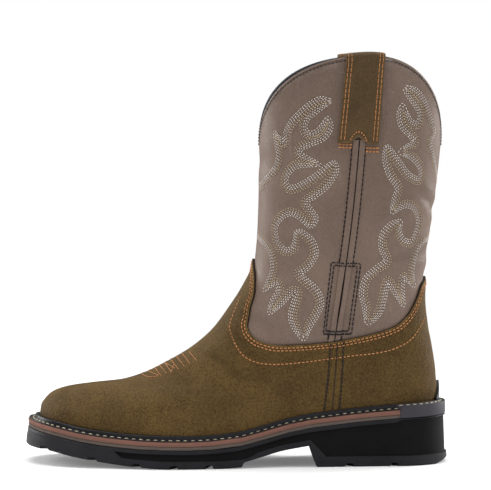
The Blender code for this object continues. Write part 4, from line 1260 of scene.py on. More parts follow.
def new_piece(name: str, vertices: Array, faces: list[tuple[int, ...]],
              materials: list[Material],
              attributes: dict[str, Array] | None = None,
              face_slots: list[int] | None = None) -> Object:
    """Make a piece of the boot that rides on its one body.

    Args:
        name: name of the piece.
        vertices: rows of X, Y and Z.
        faces: corner numbers of each face.
        materials: finishes in the order of their slots.
        attributes: numbers that each vertex carries, by name.
        face_slots: slot number of each face.

    Returns:
        The piece.
    """
    mesh = bpy.data.meshes.new(name)
    mesh.from_pydata(np.asarray(vertices).tolist(), [], faces)
    for made in materials:
        mesh.materials.append(made)
    if face_slots is not None:
        mesh.polygons.foreach_set("material_index", face_slots)
    for title, values in (attributes or {}).items():
        carried = mesh.attributes.new(title, "FLOAT", "POINT")
        carried.data.foreach_set("value", np.asarray(values, np.float32))
    mesh.shade_smooth()
    mesh.set_sharp_from_angle(angle=math.radians(50))
    mesh.update()
    piece = put(name, mesh)
    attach(piece, "root")
    LOG.info("%s: %d faces", name, len(mesh.polygons))
    return piece


def soften(piece: Object, width: float, segments: int = 2) -> None:
    """Round the sharp edges of a piece."""
    bevel = piece.modifiers.new("soft_edges", "BEVEL")
    bevel.width = width
    bevel.segments = segments
    bevel.limit_method = "ANGLE"
    bevel.angle_limit = math.radians(50)
    bevel.harden_normals = False


def wall_faces(rows: int, count: int, closed: bool) -> tuple[list[tuple[int, ...]], list[int]]:
    """Faces of a wall between an outer and an inner grid.

    Args:
        rows: rows of each grid.
        count: points in each row.
        closed: whether the rows close on themselves.

    Returns:
        Faces, and 0 for each outer face, 1 for each inner one and 2 for the rims.
    """
    last = count if closed else count - 1
    offset = rows * count
    faces: list[tuple[int, ...]] = []
    kinds: list[int] = []
    for j in range(rows - 1):
        for k in range(last):
            a, b = j * count + k, j * count + (k + 1) % count
            faces.append((a, b, b + count, a + count))
            faces.append((a + offset + count, b + offset + count, b + offset, a + offset))
            kinds += [0, 1]
    for k in range(last):
        a, b = k, (k + 1) % count
        faces.append((a + offset, b + offset, b, a))
        kinds.append(2)
        a, b = (rows - 1) * count + k, (rows - 1) * count + (k + 1) % count
        faces.append((a, b, b + offset, a + offset))
        kinds.append(2)
    if not closed:
        for j in range(rows - 1):
            a, b = j * count, (j + 1) * count
            faces.append((a, b, b + offset, a + offset))
            a, b = a + count - 1, b + count - 1
            faces.append((a + offset, b + offset, b, a))
            kinds += [2, 2]
    return faces, kinds


def new_wall(name: str, grids: tuple[Array, Array], closed: bool,
             materials: list[Material],
             carried: dict[str, tuple[Array, Array]] | None = None,
             kind_slots: tuple[int, int, int] = (0, 0, 0)) -> Object:
    """Make a wall between an outer and an inner grid of points.

    Args:
        name: name of the piece.
        grids: the outer and the inner grid.
        closed: whether the rows close on themselves.
        materials: finishes in the order of their slots.
        carried: numbers that the points of both grids carry, by name.
        kind_slots: slot number of outer, inner and rim faces.

    Returns:
        The piece.
    """
    rows, count = grids[0].shape[:2]
    faces, kinds = wall_faces(rows, count, closed)
    attributes = {title: np.concatenate([grid.ravel() for grid in pair])
                  for title, pair in (carried or {}).items()}
    return new_piece(name, np.concatenate([grid.reshape(-1, 3) for grid in grids]), faces,
                     materials, attributes, [kind_slots[kind] for kind in kinds])


def tube_faces(rows: int, count: int, closed: bool) -> list[tuple[int, ...]]:
    """Faces of equal closed sections in a row, capped unless they form a loop."""
    faces = []
    for j in range(rows if closed else rows - 1):
        here, there = j * count, (j + 1) % rows * count
        for k in range(count):
            b = (k + 1) % count
            faces.append((here + k, here + b, there + b, there + k))
    if not closed:
        faces.append(tuple(range(count - 1, -1, -1)))
        faces.append(tuple((rows - 1) * count + k for k in range(count)))
    return faces


def new_tube(name: str, grid: Array, closed: bool, materials: list[Material],
             face_slots: list[int] | None = None) -> Object:
    """Make a piece of equal closed sections in a row."""
    return new_piece(name, grid.reshape(-1, 3), tube_faces(*grid.shape[:2], closed), materials,
                     None, face_slots)


@dataclass(frozen=True)
class StitchRow:
    """Sizes of a row of stitches."""

    pitch: float
    length: float
    radius: float
    holes: bool = True


EDGE_STITCH = StitchRow(0.0030, 0.0023, 0.00038)
BUG_STITCH = StitchRow(0.0023, 0.0017, 0.00027)
FLAME_STITCH = StitchRow(0.0022, 0.0015, 0.00028)
SEAM_STITCH = StitchRow(0.0035, 0.0032, 0.00044)
COLLAR_STITCH = StitchRow(0.0029, 0.0023, 0.00030)
ARCH_STITCH = StitchRow(0.0021, 0.0015, 0.00040)
FOOT_STITCH = StitchRow(0.0030, 0.0026, 0.00052)
BUTT_STITCH = StitchRow(0.0024, 0.0022, 0.00034)
TACK_STITCH = StitchRow(0.0024, 0.0022, 0.00060)
STRAP_STITCH = StitchRow(0.0037, 0.0030, 0.00047)
WELT_STITCH = StitchRow(0.0054, 0.0033, 0.00052, False)


class Sewing:
    """Stitches of one thread, gathered into one piece."""

    AROUND = 4
    STATIONS = (-1.0, -0.66, 0.66, 1.0)
    SWELL = (0.35, 1.0, 1.0, 0.35)
    LIFT = (-0.75, 0.42, 0.42, -0.75)
    HOLE_LIFT = 0.00006
    HOLE_CORNERS = 6
    REACH = 0.0001

    def __init__(self) -> None:
        """Start with no stitch."""
        self.vertices: list[Array] = []
        self.holes: list[Array] = []
        self.total = 0

    def run(self, points: Array, normals: Array, row: StitchRow, phase: float = 0.0) -> None:
        """Sew along a line.

        Args:
            points: points of the line on the surface.
            normals: outward normals there.
            row: sizes of the stitches.
            phase: share of a stitch by which the row starts later.
        """
        steps = np.linalg.norm(np.diff(points, axis=0), axis=1)
        along = np.concatenate(([0.0], np.cumsum(steps)))
        count = int(along[-1] / row.pitch)
        if count < 1:
            return
        pitch = along[-1] / count
        middle = (np.arange(count - (phase > 0.0)) + 0.5 + phase) * pitch
        half = row.length / 2 * pitch / row.pitch
        ring = np.arange(self.AROUND) * 2 * math.pi / self.AROUND
        rings = []
        for station, swell, lift in zip(self.STATIONS, self.SWELL, self.LIFT):
            place = middle + station * half
            out, across, _ = self.axes(points, normals, along, place)
            centre = read_line(points, along, place) + out * (lift * row.radius)
            size = row.radius * swell
            rings.append(centre[:, None, :]
                         + size * np.cos(ring)[None, :, None] * across[:, None, :]
                         + size * np.sin(ring)[None, :, None] * out[:, None, :])
        self.vertices.append(np.stack(rings, axis=1))
        self.total += len(middle)
        # Dark flat patches between stitches paint the shade in the needle holes
        place = middle[1:] - pitch / 2
        if row.holes and len(place):
            self.punch(points, normals, along, place, (row.pitch - row.length) * 0.62,
                       row.radius * 0.80)

    def axes(self, points: Array, normals: Array, along: Array,
             place: Array) -> tuple[Array, Array, Array]:
        """Directions out of the surface, across a line and along it, at places of it."""
        out = unit(read_line(normals, along, place))
        ahead = unit(read_line(points, along, np.minimum(place + self.REACH, along[-1]))
                     - read_line(points, along, np.maximum(place - self.REACH, 0.0)))
        return out, unit(np.cross(out, ahead)), ahead

    def punch(self, points: Array, normals: Array, along: Array, place: Array,
              half_length: float, half_width: float) -> None:
        """Paint the shade in the needle holes between stitches, as dark flat patches.

        Args:
            points: points of the line on the surface.
            normals: outward normals there.
            along: distances of the points along the line.
            place: distances of the holes along the line.
            half_length: half the length of a hole.
            half_width: half its width.
        """
        out, across, ahead = self.axes(points, normals, along, place)
        centre = read_line(points, along, place) + out * self.HOLE_LIFT
        corners = []
        for step in range(self.HOLE_CORNERS):
            angle = 2 * math.pi / self.HOLE_CORNERS * step
            corners.append(centre + ahead * half_length * math.cos(angle)
                           + across * half_width * math.sin(angle))
        self.holes.append(np.stack(corners, axis=1))

    def hole_piece(self, name: str, slot: str) -> Object:
        """Join the painted shade of the needle holes into one piece."""
        grid = np.concatenate(self.holes, axis=0)
        sides = self.HOLE_CORNERS
        faces = [tuple(index * sides + corner for corner in range(sides))[::-1]
                 for index in range(len(grid))]
        return new_piece(name, grid.reshape(-1, 3), faces, [NEEDLE_SHADE.build()])

    def piece(self, name: str, finish: ThreadFinish, slot: str) -> Object:
        """Join the stitches into one piece.

        Args:
            name: name of the piece.
            finish: its thread.
            slot: not used.

        Returns:
            The piece.
        """
        grid = np.concatenate(self.vertices, axis=0)
        rings, around = len(self.STATIONS), self.AROUND
        single = tube_faces(rings, around, False)
        faces = []
        for index in range(len(grid)):
            base = index * rings * around
            faces += [tuple(base + corner for corner in face) for face in single]
        return new_piece(name, grid.reshape(-1, 3), faces, [finish.build()])


@dataclass
class SewnLine:
    """Line on the boot's leather, as turns and levels of one side."""

    turn: Array
    level: Array

    def shifted(self, distance: float | Array) -> SewnLine:
        """Line at a distance beside this one on the surface.

        Args:
            distance: positive to the left of the line's run, seen from outside.

        Returns:
            The new line.
        """
        step = 0.002
        points = FORM.skin(self.turn, self.level)
        tangent = unit(np.gradient(points, axis=0))
        _, normal, _ = FORM.skin_frame(self.turn, self.level)
        beside = np.cross(normal, tangent) * np.reshape(distance, (-1, 1))
        by_turn = (FORM.skin(self.turn + step, self.level)
                   - FORM.skin(self.turn - step, self.level)) / (2 * step)
        high = np.minimum(self.level + step, FORM.top)
        low = np.maximum(self.level - step, 0.0)
        by_level = (FORM.skin(self.turn, high)
                    - FORM.skin(self.turn, low)) / (high - low)[:, None]
        aa = (by_turn * by_turn).sum(-1)
        bb = (by_level * by_level).sum(-1)
        ab = (by_turn * by_level).sum(-1)
        da = (beside * by_turn).sum(-1)
        db = (beside * by_level).sum(-1)
        det = np.maximum(aa * bb - ab * ab, 1e-12)
        turn = self.turn + (da * bb - db * ab) / det
        level = np.clip(self.level + (db * aa - da * ab) / det, 0.0, FORM.top)
        return SewnLine(turn, level)

    def sew(self, sewing: Sewing, row: StitchRow, height: float | Array,
            phase: float = 0.0) -> None:
        """Sew along the line at a height over the upper's face, on both sides of the boot."""
        for side in Side:
            turn = np.abs(self.turn) * side.value
            _, normals, _ = FORM.skin_frame(turn, self.level)
            sewing.run(FORM.on(turn, self.level, height), normals, row, phase)


def photo_line(pixels: tuple[Pixel, ...], distance: float, per_span: int = 12,
               closed: bool = False, straight: bool = False) -> SewnLine:
    """Line on the leather through pixels of the photograph.

    Args:
        pixels: places in the photograph.
        distance: distance of the line outside the upper's face.
        per_span: points between each pair.
        closed: whether the line returns to its start.
        straight: whether its spans are straight.

    Returns:
        The line, with positive turns.
    """
    points = np.array([(p.px, p.py) for p in pixels], float)
    if straight:
        ends = np.vstack((points, points[:1])) if closed else points
        shares = np.linspace(0.0, 1.0, per_span, endpoint=False)[:, None]
        spans = [mix(a, b, shares) for a, b in zip(ends, ends[1:])]
        line = np.vstack(spans + [ends[-1:]])
    else:
        line = smooth_line(points, per_span, closed)
    return SewnLine(*FORM.photo_place(line[:, 0], line[:, 1], distance))


def trace_line(corner: tuple[int, int], rows: tuple[TracePoint, ...]) -> Array:
    """Rows of a traced band as pixels of the photograph and shares of width."""
    return np.array([(corner[0] + r.across / TRACE_SCALE, corner[1] + r.down / TRACE_SCALE,
                      r.wide) for r in rows])


def stretches(wanted: Array) -> list[slice]:
    """Runs of places in a row where something is wanted."""
    padded = np.concatenate(([False], wanted, [False])).astype(int)
    steps = np.diff(padded)
    starts, ends = np.flatnonzero(steps == 1), np.flatnonzero(steps == -1)
    return [slice(a, b + 1) for a, b in zip(starts, ends) if b - a > 2]


@dataclass
class Upper:
    """Hollow leather wall of foot and shaft, with the brown leather laid over it."""

    columns: int = 100
    foot_rows: int = 70
    shaft_rows: int = 80

    def shares(self, start: float, end: float) -> Array:
        """Column shares of one side, close together round the tips."""
        count = max(2, round(self.columns * (end - start) / 2))
        return np.linspace(start, end, count + 1)

    def loop(self) -> tuple[Array, Array]:
        """Column shares right round the boot with their side signs."""
        one = self.shares(0.0, 2.0)
        shares = np.concatenate((one, one[-2:0:-1]))
        signs = np.concatenate((np.ones(len(one)), -np.ones(len(one) - 2)))
        return shares, signs

    def levels(self, shares: Array) -> Array:
        """Levels of the wall's rows, one row of numbers for each row of points."""
        edge = FORM.edge_level(shares)
        foot = np.linspace(0.0, 1.0, self.foot_rows + 1)[:, None] * edge
        shaft = mix(edge, FORM.top, np.linspace(0.0, 1.0, self.shaft_rows + 1)[1:, None])
        return np.vstack((foot, shaft))

    @staticmethod
    def crease_shade_mask(turns: Array, levels: Array) -> Array:
        """How much each point lies in a crease, as the mask of the painted shade there."""
        deep = FORM.crease_depth(FORM.skin(turns, levels)) / FULL_CREASE_SHADE_DEPTH
        return np.clip(deep, 0.0, 1.0) * 0.5

    def build_wall(self) -> Object:
        """Make the wall with leather outside and lining inside."""
        shares, signs = self.loop()
        levels = self.levels(shares)
        turns = FORM.column_turn(shares, levels) * signs
        grids = (FORM.on(turns, levels, 0.0), FORM.on(turns, levels, -UPPER_WALL))
        # Painted shade mask: how deep each point lies in a crease
        fold = self.crease_shade_mask(turns, levels)
        # Lighter towards the collar's top: edge wear and a painted highlight
        rim = np.clip((levels - FORM.top + 0.05) / 0.05, 0.0, 1.0) * 0.6
        plain = np.zeros_like(fold)
        wall = new_wall("shaft_and_foot_wall", grids, True,
                        [SHAFT_LEATHER.build(), LINING.build()],
                        {"fold": (fold, plain), "rim": (rim, plain)}, (0, 1, 0))
        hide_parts("upper")
        return wall

    def build_overlay(self, name: str, node: str, start: float, end: float) -> Object:
        """Make a brown leather piece over the wall.

        Args:
            name: name of the piece.
            node: solid that it stands for.
            start: column share of its end in front.
            end: column share of its end at the back.

        Returns:
            The piece.
        """
        one = self.shares(start, end)
        if start == 0.0:
            shares = np.concatenate((one[::-1], one[1:]))
            signs = np.concatenate((-np.ones(len(one)), np.ones(len(one) - 1)))
            signs[len(one) - 1] = 1.0
        else:
            shares = np.concatenate((one, one[-2::-1]))
            signs = np.concatenate((np.ones(len(one)), -np.ones(len(one) - 1)))
        edge = FORM.edge_level(shares)
        levels = np.linspace(0.0, 1.0, self.foot_rows + 1)[:, None] * edge
        turns = FORM.column_turn(shares, levels) * signs
        grids = (FORM.on(turns, levels, OVERLAY_OUT), FORM.on(turns, levels, CLEARANCE / 3))
        # Painted shade mask: how deep each point lies in a crease
        fold = self.crease_shade_mask(turns, levels)
        # Lighter near the top edge: edge wear and a painted highlight
        below = (FORM.skin(turns[-1:], levels[-1:]) - FORM.skin(turns, levels))
        near = np.linalg.norm(below, axis=-1)
        rim = np.clip(1.0 - near / EDGE_WEAR_AND_HIGHLIGHT_WIDTH, 0.0, 1.0) * 0.8
        # The cut edges get the painted shadow line
        piece = new_wall(name, grids, False, [VAMP_LEATHER.build(), CUT_EDGE_SHADE.build()],
                         {"fold": (fold, fold), "rim": (rim, rim)},
                         (0, 0, 1))
        soften(piece, 0.0004)
        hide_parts(node)
        return piece

    def build(self) -> None:
        """Make the wall and both brown pieces."""
        self.build_wall()
        self.build_overlay("vamp_leather", "vamp", 0.0, 1.0)
        self.build_overlay("counter_leather", "counter", 1.0, 2.0)


@dataclass
class Trim:
    """Side strips, pull straps and collar binding."""

    strip_rows: int = 60
    strap_columns: int = 14
    leg_rows: int = 22
    fold_steps: int = 12
    binding_around: int = 8

    def seam_grid(self, side: Side, level: Array, across: Array,
                  distance: float | Array) -> Array:
        """Points beside a side seam.

        Args:
            side: which seam.
            level: ring numbers.
            across: distances from the seam towards the back.
            distance: distance outside the upper's face.

        Returns:
            Points.
        """
        turn = self.beside_seam(level, across)
        return FORM.on(turn * side.value, level, distance)

    @staticmethod
    def beside_seam(level: Array, across: Array) -> Array:
        """Turns at distances from the side seam towards the back."""
        centre = FORM.seam_turn(level)
        step = LEVEL_STEP
        width = np.linalg.norm(FORM.skin(centre + step, level) - FORM.skin(centre - step, level),
                               axis=-1)
        return centre + across / (width / (2 * step))

    def seam_level(self, drop: float | Array) -> Array:
        """Level of the seam at a drop below the collar."""
        top = FORM.skin(FORM.seam_turn(np.array([FORM.top])), np.array([FORM.top]))[0, 2]
        return FORM.column_level(np.ones(np.shape(np.atleast_1d(drop))),
                                 top - np.atleast_1d(drop))

    def build_strip(self, side: Side) -> Object:
        """Make the raised strip down a side seam, with its butt line and a widened slit whose
        floor is painted dark as shade.
        """
        half = STRIP_WIDTH / 2
        across = np.array((-1.0, -0.94, -0.85, -0.6, -0.35, -0.16, -0.10, -0.05, 0.05, 0.10,
                           0.16, 0.35, 0.6, 0.85, 0.94, 1.0)) * half
        height = np.array((0.35, 0.85, 1.0, 1.03, 1.05, 1.32, 1.25, 0.25, 0.25, 0.95, 1.05,
                           1.05, 1.03, 1.0, 0.85, 0.35)) * STRIP_THICKNESS
        edge = FORM.edge_level(np.array([1.0]))
        seam_z = FORM.skin(FORM.seam_turn(edge), edge)[0, 2]
        foot = FORM.column_level(np.array([1.0]), np.array([seam_z + 0.0012]))[0]
        top = self.seam_level(STRAP_OUTER_DROP - STRAP_NOTCH)[0]
        slit = photo_line(SLIT, 0.0012, 2).level
        level = np.linspace(foot, top, self.strip_rows + 1)[:, None]
        inside = np.clip((level - slit.min()) / (slit.max() - slit.min()), 0.0, 1.0)
        level, across_grid = np.broadcast_arrays(level, across[None, :])
        near = np.exp(-(across_grid / (0.16 * half)) ** 4)
        wider = 1.0 + 0.9 * np.sin(math.pi * inside) * near
        across_grid = across_grid * wider
        outer = self.seam_grid(side, level, across_grid, CLEARANCE + height[None, :])
        inner = self.seam_grid(side, level, across_grid, 0.0)
        rows, count = level.shape
        # Faces across the slit get the painted slit shade
        dark = list(range(7, 9))
        if side is Side.OUTER:
            outer, inner = outer[:, ::-1], inner[:, ::-1]
            dark = [count - 2 - k for k in dark]
        piece = new_wall(f"seam_strip_{side.name.lower()}", (outer, inner), False,
                         [SHAFT_LEATHER.build(), SLIT_SHADE.build()])
        for j in range(rows - 1):
            for k in dark:
                piece.data.polygons[2 * (j * (count - 1) + k)].material_index = 1
        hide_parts(f"side_seam_{side.name.lower()}")
        return piece

    def collar_points(self, turn: Array, distance: Array, lift: Array) -> Array:
        """Points at a distance outside the collar and above its edge."""
        point, normal, around = FORM.skin_frame(turn, FORM.top)
        upward = np.cross(normal, around)
        upward = upward * np.where(upward[..., 2:] < 0, -1.0, 1.0)
        return point + normal * distance[..., None] + upward * lift[..., None]

    def strap_grid(self, side: Side, extra: float) -> Array:
        """One face of a pull strap, from its outer foot over the collar to its inner foot.

        Args:
            side: which strap.
            extra: distance outside the strap's inner face.

        Returns:
            Rows of points.
        """
        across = np.linspace(-1.0, 1.0, 2 * self.strap_columns + 1)
        notch = np.clip(1.0 - np.abs(across) / 0.42, 0.0, 1.0)
        middle = -UPPER_WALL / 2
        reach = UPPER_WALL / 2 + STRAP_STANDOFF + extra
        crown = BINDING_HEIGHT / 2 + CLEARANCE + extra
        base = BINDING_SEAT + BINDING_HEIGHT / 2
        drop = STRAP_OUTER_DROP - STRAP_SHORT + STRAP_TILT * across - STRAP_NOTCH * notch
        foot = self.seam_level(drop)[None, :]
        share = np.linspace(0.0, 1.0, self.leg_rows + 1)[:-1, None]
        level = mix(foot, FORM.top, share)
        wide = across[None, :] * STRAP_WIDTH / 2 * (1.0 + STRAP_SPREAD * (1.0 - share))
        wide = wide - STRAP_LEAN * (1.0 - share)
        outer_leg = self.seam_grid(side, level, wide, middle + reach)
        turn = self.beside_seam(np.array([FORM.top]), across * STRAP_WIDTH / 2) * side.value
        fold = []
        for step in range(self.fold_steps + 1):
            angle = math.pi * step / self.fold_steps
            fold.append(self.collar_points(
                turn, np.full_like(turn, middle + reach * math.cos(angle)),
                np.full_like(turn, base + crown * math.sin(angle))))
        low = self.seam_level(STRAP_INNER_DROP)[0]
        level = np.broadcast_to(mix(FORM.top, low, np.linspace(0.0, 1.0, self.leg_rows + 1)
                                    [1:, None]), (self.leg_rows, len(across)))
        wide = np.broadcast_to(across[None, :] * STRAP_WIDTH / 2, level.shape)
        inner_leg = self.seam_grid(side, level, wide, middle - reach)
        return np.concatenate((outer_leg, np.stack(fold), inner_leg))

    def build_strap(self, side: Side) -> Object:
        """Make a pull strap folded over the collar."""
        outer = self.strap_grid(side, STRAP_THICKNESS)
        inner = self.strap_grid(side, 0.0)
        if side is Side.OUTER:
            outer, inner = outer[:, ::-1], inner[:, ::-1]
        # Lighter along the strap's edges: edge wear and a painted highlight
        rim = np.zeros(outer.shape[:2])
        rim[:, 0] = rim[:, -1] = rim[0, :] = 0.9
        piece = new_wall(f"pull_strap_leather_{side.name.lower()}", (outer, inner), False,
                         [STRAP_LEATHER.build()], {"rim": (rim, rim)})
        soften(piece, 0.0004)
        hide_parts(f"pull_strap_{side.name.lower()}")
        return piece

    def build_binding(self) -> Object:
        """Make the rounded dark binding that lies on the collar."""
        shares, signs = Upper().loop()
        level = np.full_like(shares, FORM.top)
        turn = FORM.column_turn(shares, level) * signs
        angle = np.linspace(0.0, math.pi, self.binding_around)
        reach = UPPER_WALL / 2 + BINDING_PROUD
        sections = []
        for a in angle:
            sections.append(self.collar_points(
                turn, np.full_like(turn, -UPPER_WALL / 2 + reach * math.cos(a)),
                np.full_like(turn, BINDING_SEAT + BINDING_HEIGHT * math.sin(a))))
        for share in (-1.0, 1.0):
            sections.append(self.collar_points(
                turn, np.full_like(turn, -UPPER_WALL / 2 + reach * share),
                np.full_like(turn, BINDING_SEAT / 3)))
        grid = np.stack(sections, axis=1)[:, ::-1]
        rows, count = grid.shape[:2]
        slots = [0] * (count - 3) + [1] * 3
        piece = new_tube("collar_edge", grid, True, [BINDING.build(), SHAFT_LEATHER.build()],
                         slots * rows)
        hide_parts("collar_binding")
        return piece

    def build(self) -> None:
        """Make all trim."""
        for side in Side:
            self.build_strip(side)
            self.build_strap(side)
        self.build_binding()


@dataclass
class Rims:
    """Welt and heel rand round the foot, with their lockstitches."""

    columns: int = 260

    @staticmethod
    def rim_point(turn: Array, across: float, rise: float, inset: float) -> Array:
        """Points of a rim's section.

        Args:
            turn: angles round the boot.
            across: 0 at the leather and 1 at the sole's edge.
            rise: height over the midsole's top.
            inset: distance of the edge inside the outline.

        Returns:
            Points.
        """
        foot = FORM.skin(turn, 0.0)
        height = FORM.sole_top(foot[:, 0]) + rise
        level = FORM.turn_level(turn, np.maximum(height, foot[:, 2]))
        point, normal, _ = FORM.skin_frame(turn, level)
        inside = point + normal * (OVERLAY_OUT + CLEARANCE / 3)
        along = (1.0 - np.cos(turn)) / 2
        x, low, high = FORM.raw_edges(along, inset)
        outside = np.stack((x, np.where(np.sin(turn) >= 0, high, low) + FORM.centring,
                            FORM.sole_top(x)), axis=-1)
        made = mix(inside, outside, across)
        made[:, 2] = mix(FORM.sole_top(inside[:, 0]), outside[:, 2], across) + rise
        return made

    @staticmethod
    def share(width: float) -> float:
        """Share of the welt's width that a length across it takes."""
        return width / (WELT_SIDE - WELT_INSET - CLEARANCE)

    @staticmethod
    def rand_turn() -> float:
        """Turn at which the rand starts."""
        along = ((RAND_START - 0.5) * SOLE_LENGTH - FORM.toe_x) / (FORM.heel_x - FORM.toe_x)
        return math.acos(1.0 - 2.0 * along)

    def groove_rows(self, top: float) -> list[tuple[float, float]]:
        """Rows of the stitch groove and the rim outside it, as across and rise."""
        start = self.share(RIDGE_WIDTH + RIDGE_SLOPE)
        end = start + self.share(STITCH_GROOVE_WIDTH)
        floor = top - STITCH_GROOVE_DEPTH
        round_off = self.share(RIM_ROUND)
        return [(start, floor), (mix(start, end, 0.5), floor - 0.0001), (end, floor),
                (end + self.share(0.0003), top - 0.0001), (end + self.share(0.0006), top),
                (1.0 - round_off, top), (1.0 - round_off * 0.3, top - RIM_ROUND * 0.3),
                (1.0, top - RIM_ROUND)]

    def ridge_rows(self) -> list[tuple[float, float]]:
        """Rows of the rounded ridge against the leather."""
        ridge = WELT_THICKNESS + RIDGE_HEIGHT
        width = self.share(RIDGE_WIDTH)
        angle = np.linspace(math.pi, 0.0, 9)
        rows = [(0.0, WELT_SEAT)]
        rows += [(width / 2 * (1 + math.cos(a)), ridge - 0.0010 + 0.0010 * math.sin(a))
                 for a in angle]
        return rows

    def build_welt(self) -> Object:
        """Make the black strip with its raised ridge."""
        end = self.rand_turn() - CLEARANCE / (HEEL_WIDTH / 2)
        turns = np.linspace(-end, end, self.columns + 1)
        rows = self.ridge_rows() + self.groove_rows(WELT_RIM) + [(1.0, WELT_SEAT)]
        grid = np.stack([self.rim_point(turns, a, r, WELT_INSET) for a, r in rows], axis=1)
        piece = new_tube("welt_strip", grid, False, [WELT_RUBBER.build()])
        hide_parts("welt")
        return piece

    def build_rand(self) -> Object:
        """Make the slate piece round the heel."""
        start = self.rand_turn()
        turns = np.linspace(start, 2 * math.pi - start, self.columns // 2)
        rows = self.ridge_rows() + self.groove_rows(RAND_RIM)
        columns = [self.rim_point(turns, a, r, RAND_INSET) for a, r in rows]
        for across in (1.0, 0.0):
            low = self.rim_point(turns, across, 0.0, RAND_INSET)
            low[:, 2] = FORM.sole_top(low[:, 0]) - LAYERS_HEIGHT + CLEARANCE
            low[[0, -1], 0] -= RAND_SLANT
            columns.append(low)
        piece = new_tube("heel_rand_rubber", np.stack(columns, axis=1), False,
                         [RAND_RUBBER.build()])
        soften(piece, 0.0003)
        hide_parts("heel_rand")
        return piece

    def build_stitches(self) -> None:
        """Sew the cream lockstitches in the groove, right round the boot."""
        sewing = Sewing()
        turns = np.linspace(-math.pi, math.pi, 1200)
        middle = self.share(RIDGE_WIDTH + RIDGE_SLOPE) + self.share(STITCH_GROOVE_WIDTH) / 2
        points = self.rim_point(turns, middle, WELT_RIM - STITCH_GROOVE_DEPTH + 0.0002,
                                WELT_INSET)
        heel = np.abs(turns) > self.rand_turn()
        points[:, 2] += np.where(heel, RAND_RIM - WELT_RIM, 0.0)
        normals = np.tile((0.0, 0.0, 1.0), (len(turns), 1))
        sewing.run(points, normals, WELT_STITCH)
        sewing.piece("welt_lockstitches", CREAM_THREAD, "black_rubber")

    def build(self) -> None:
        """Make the welt, the rand and their stitches."""
        self.build_welt()
        self.build_rand()
        self.build_stitches()


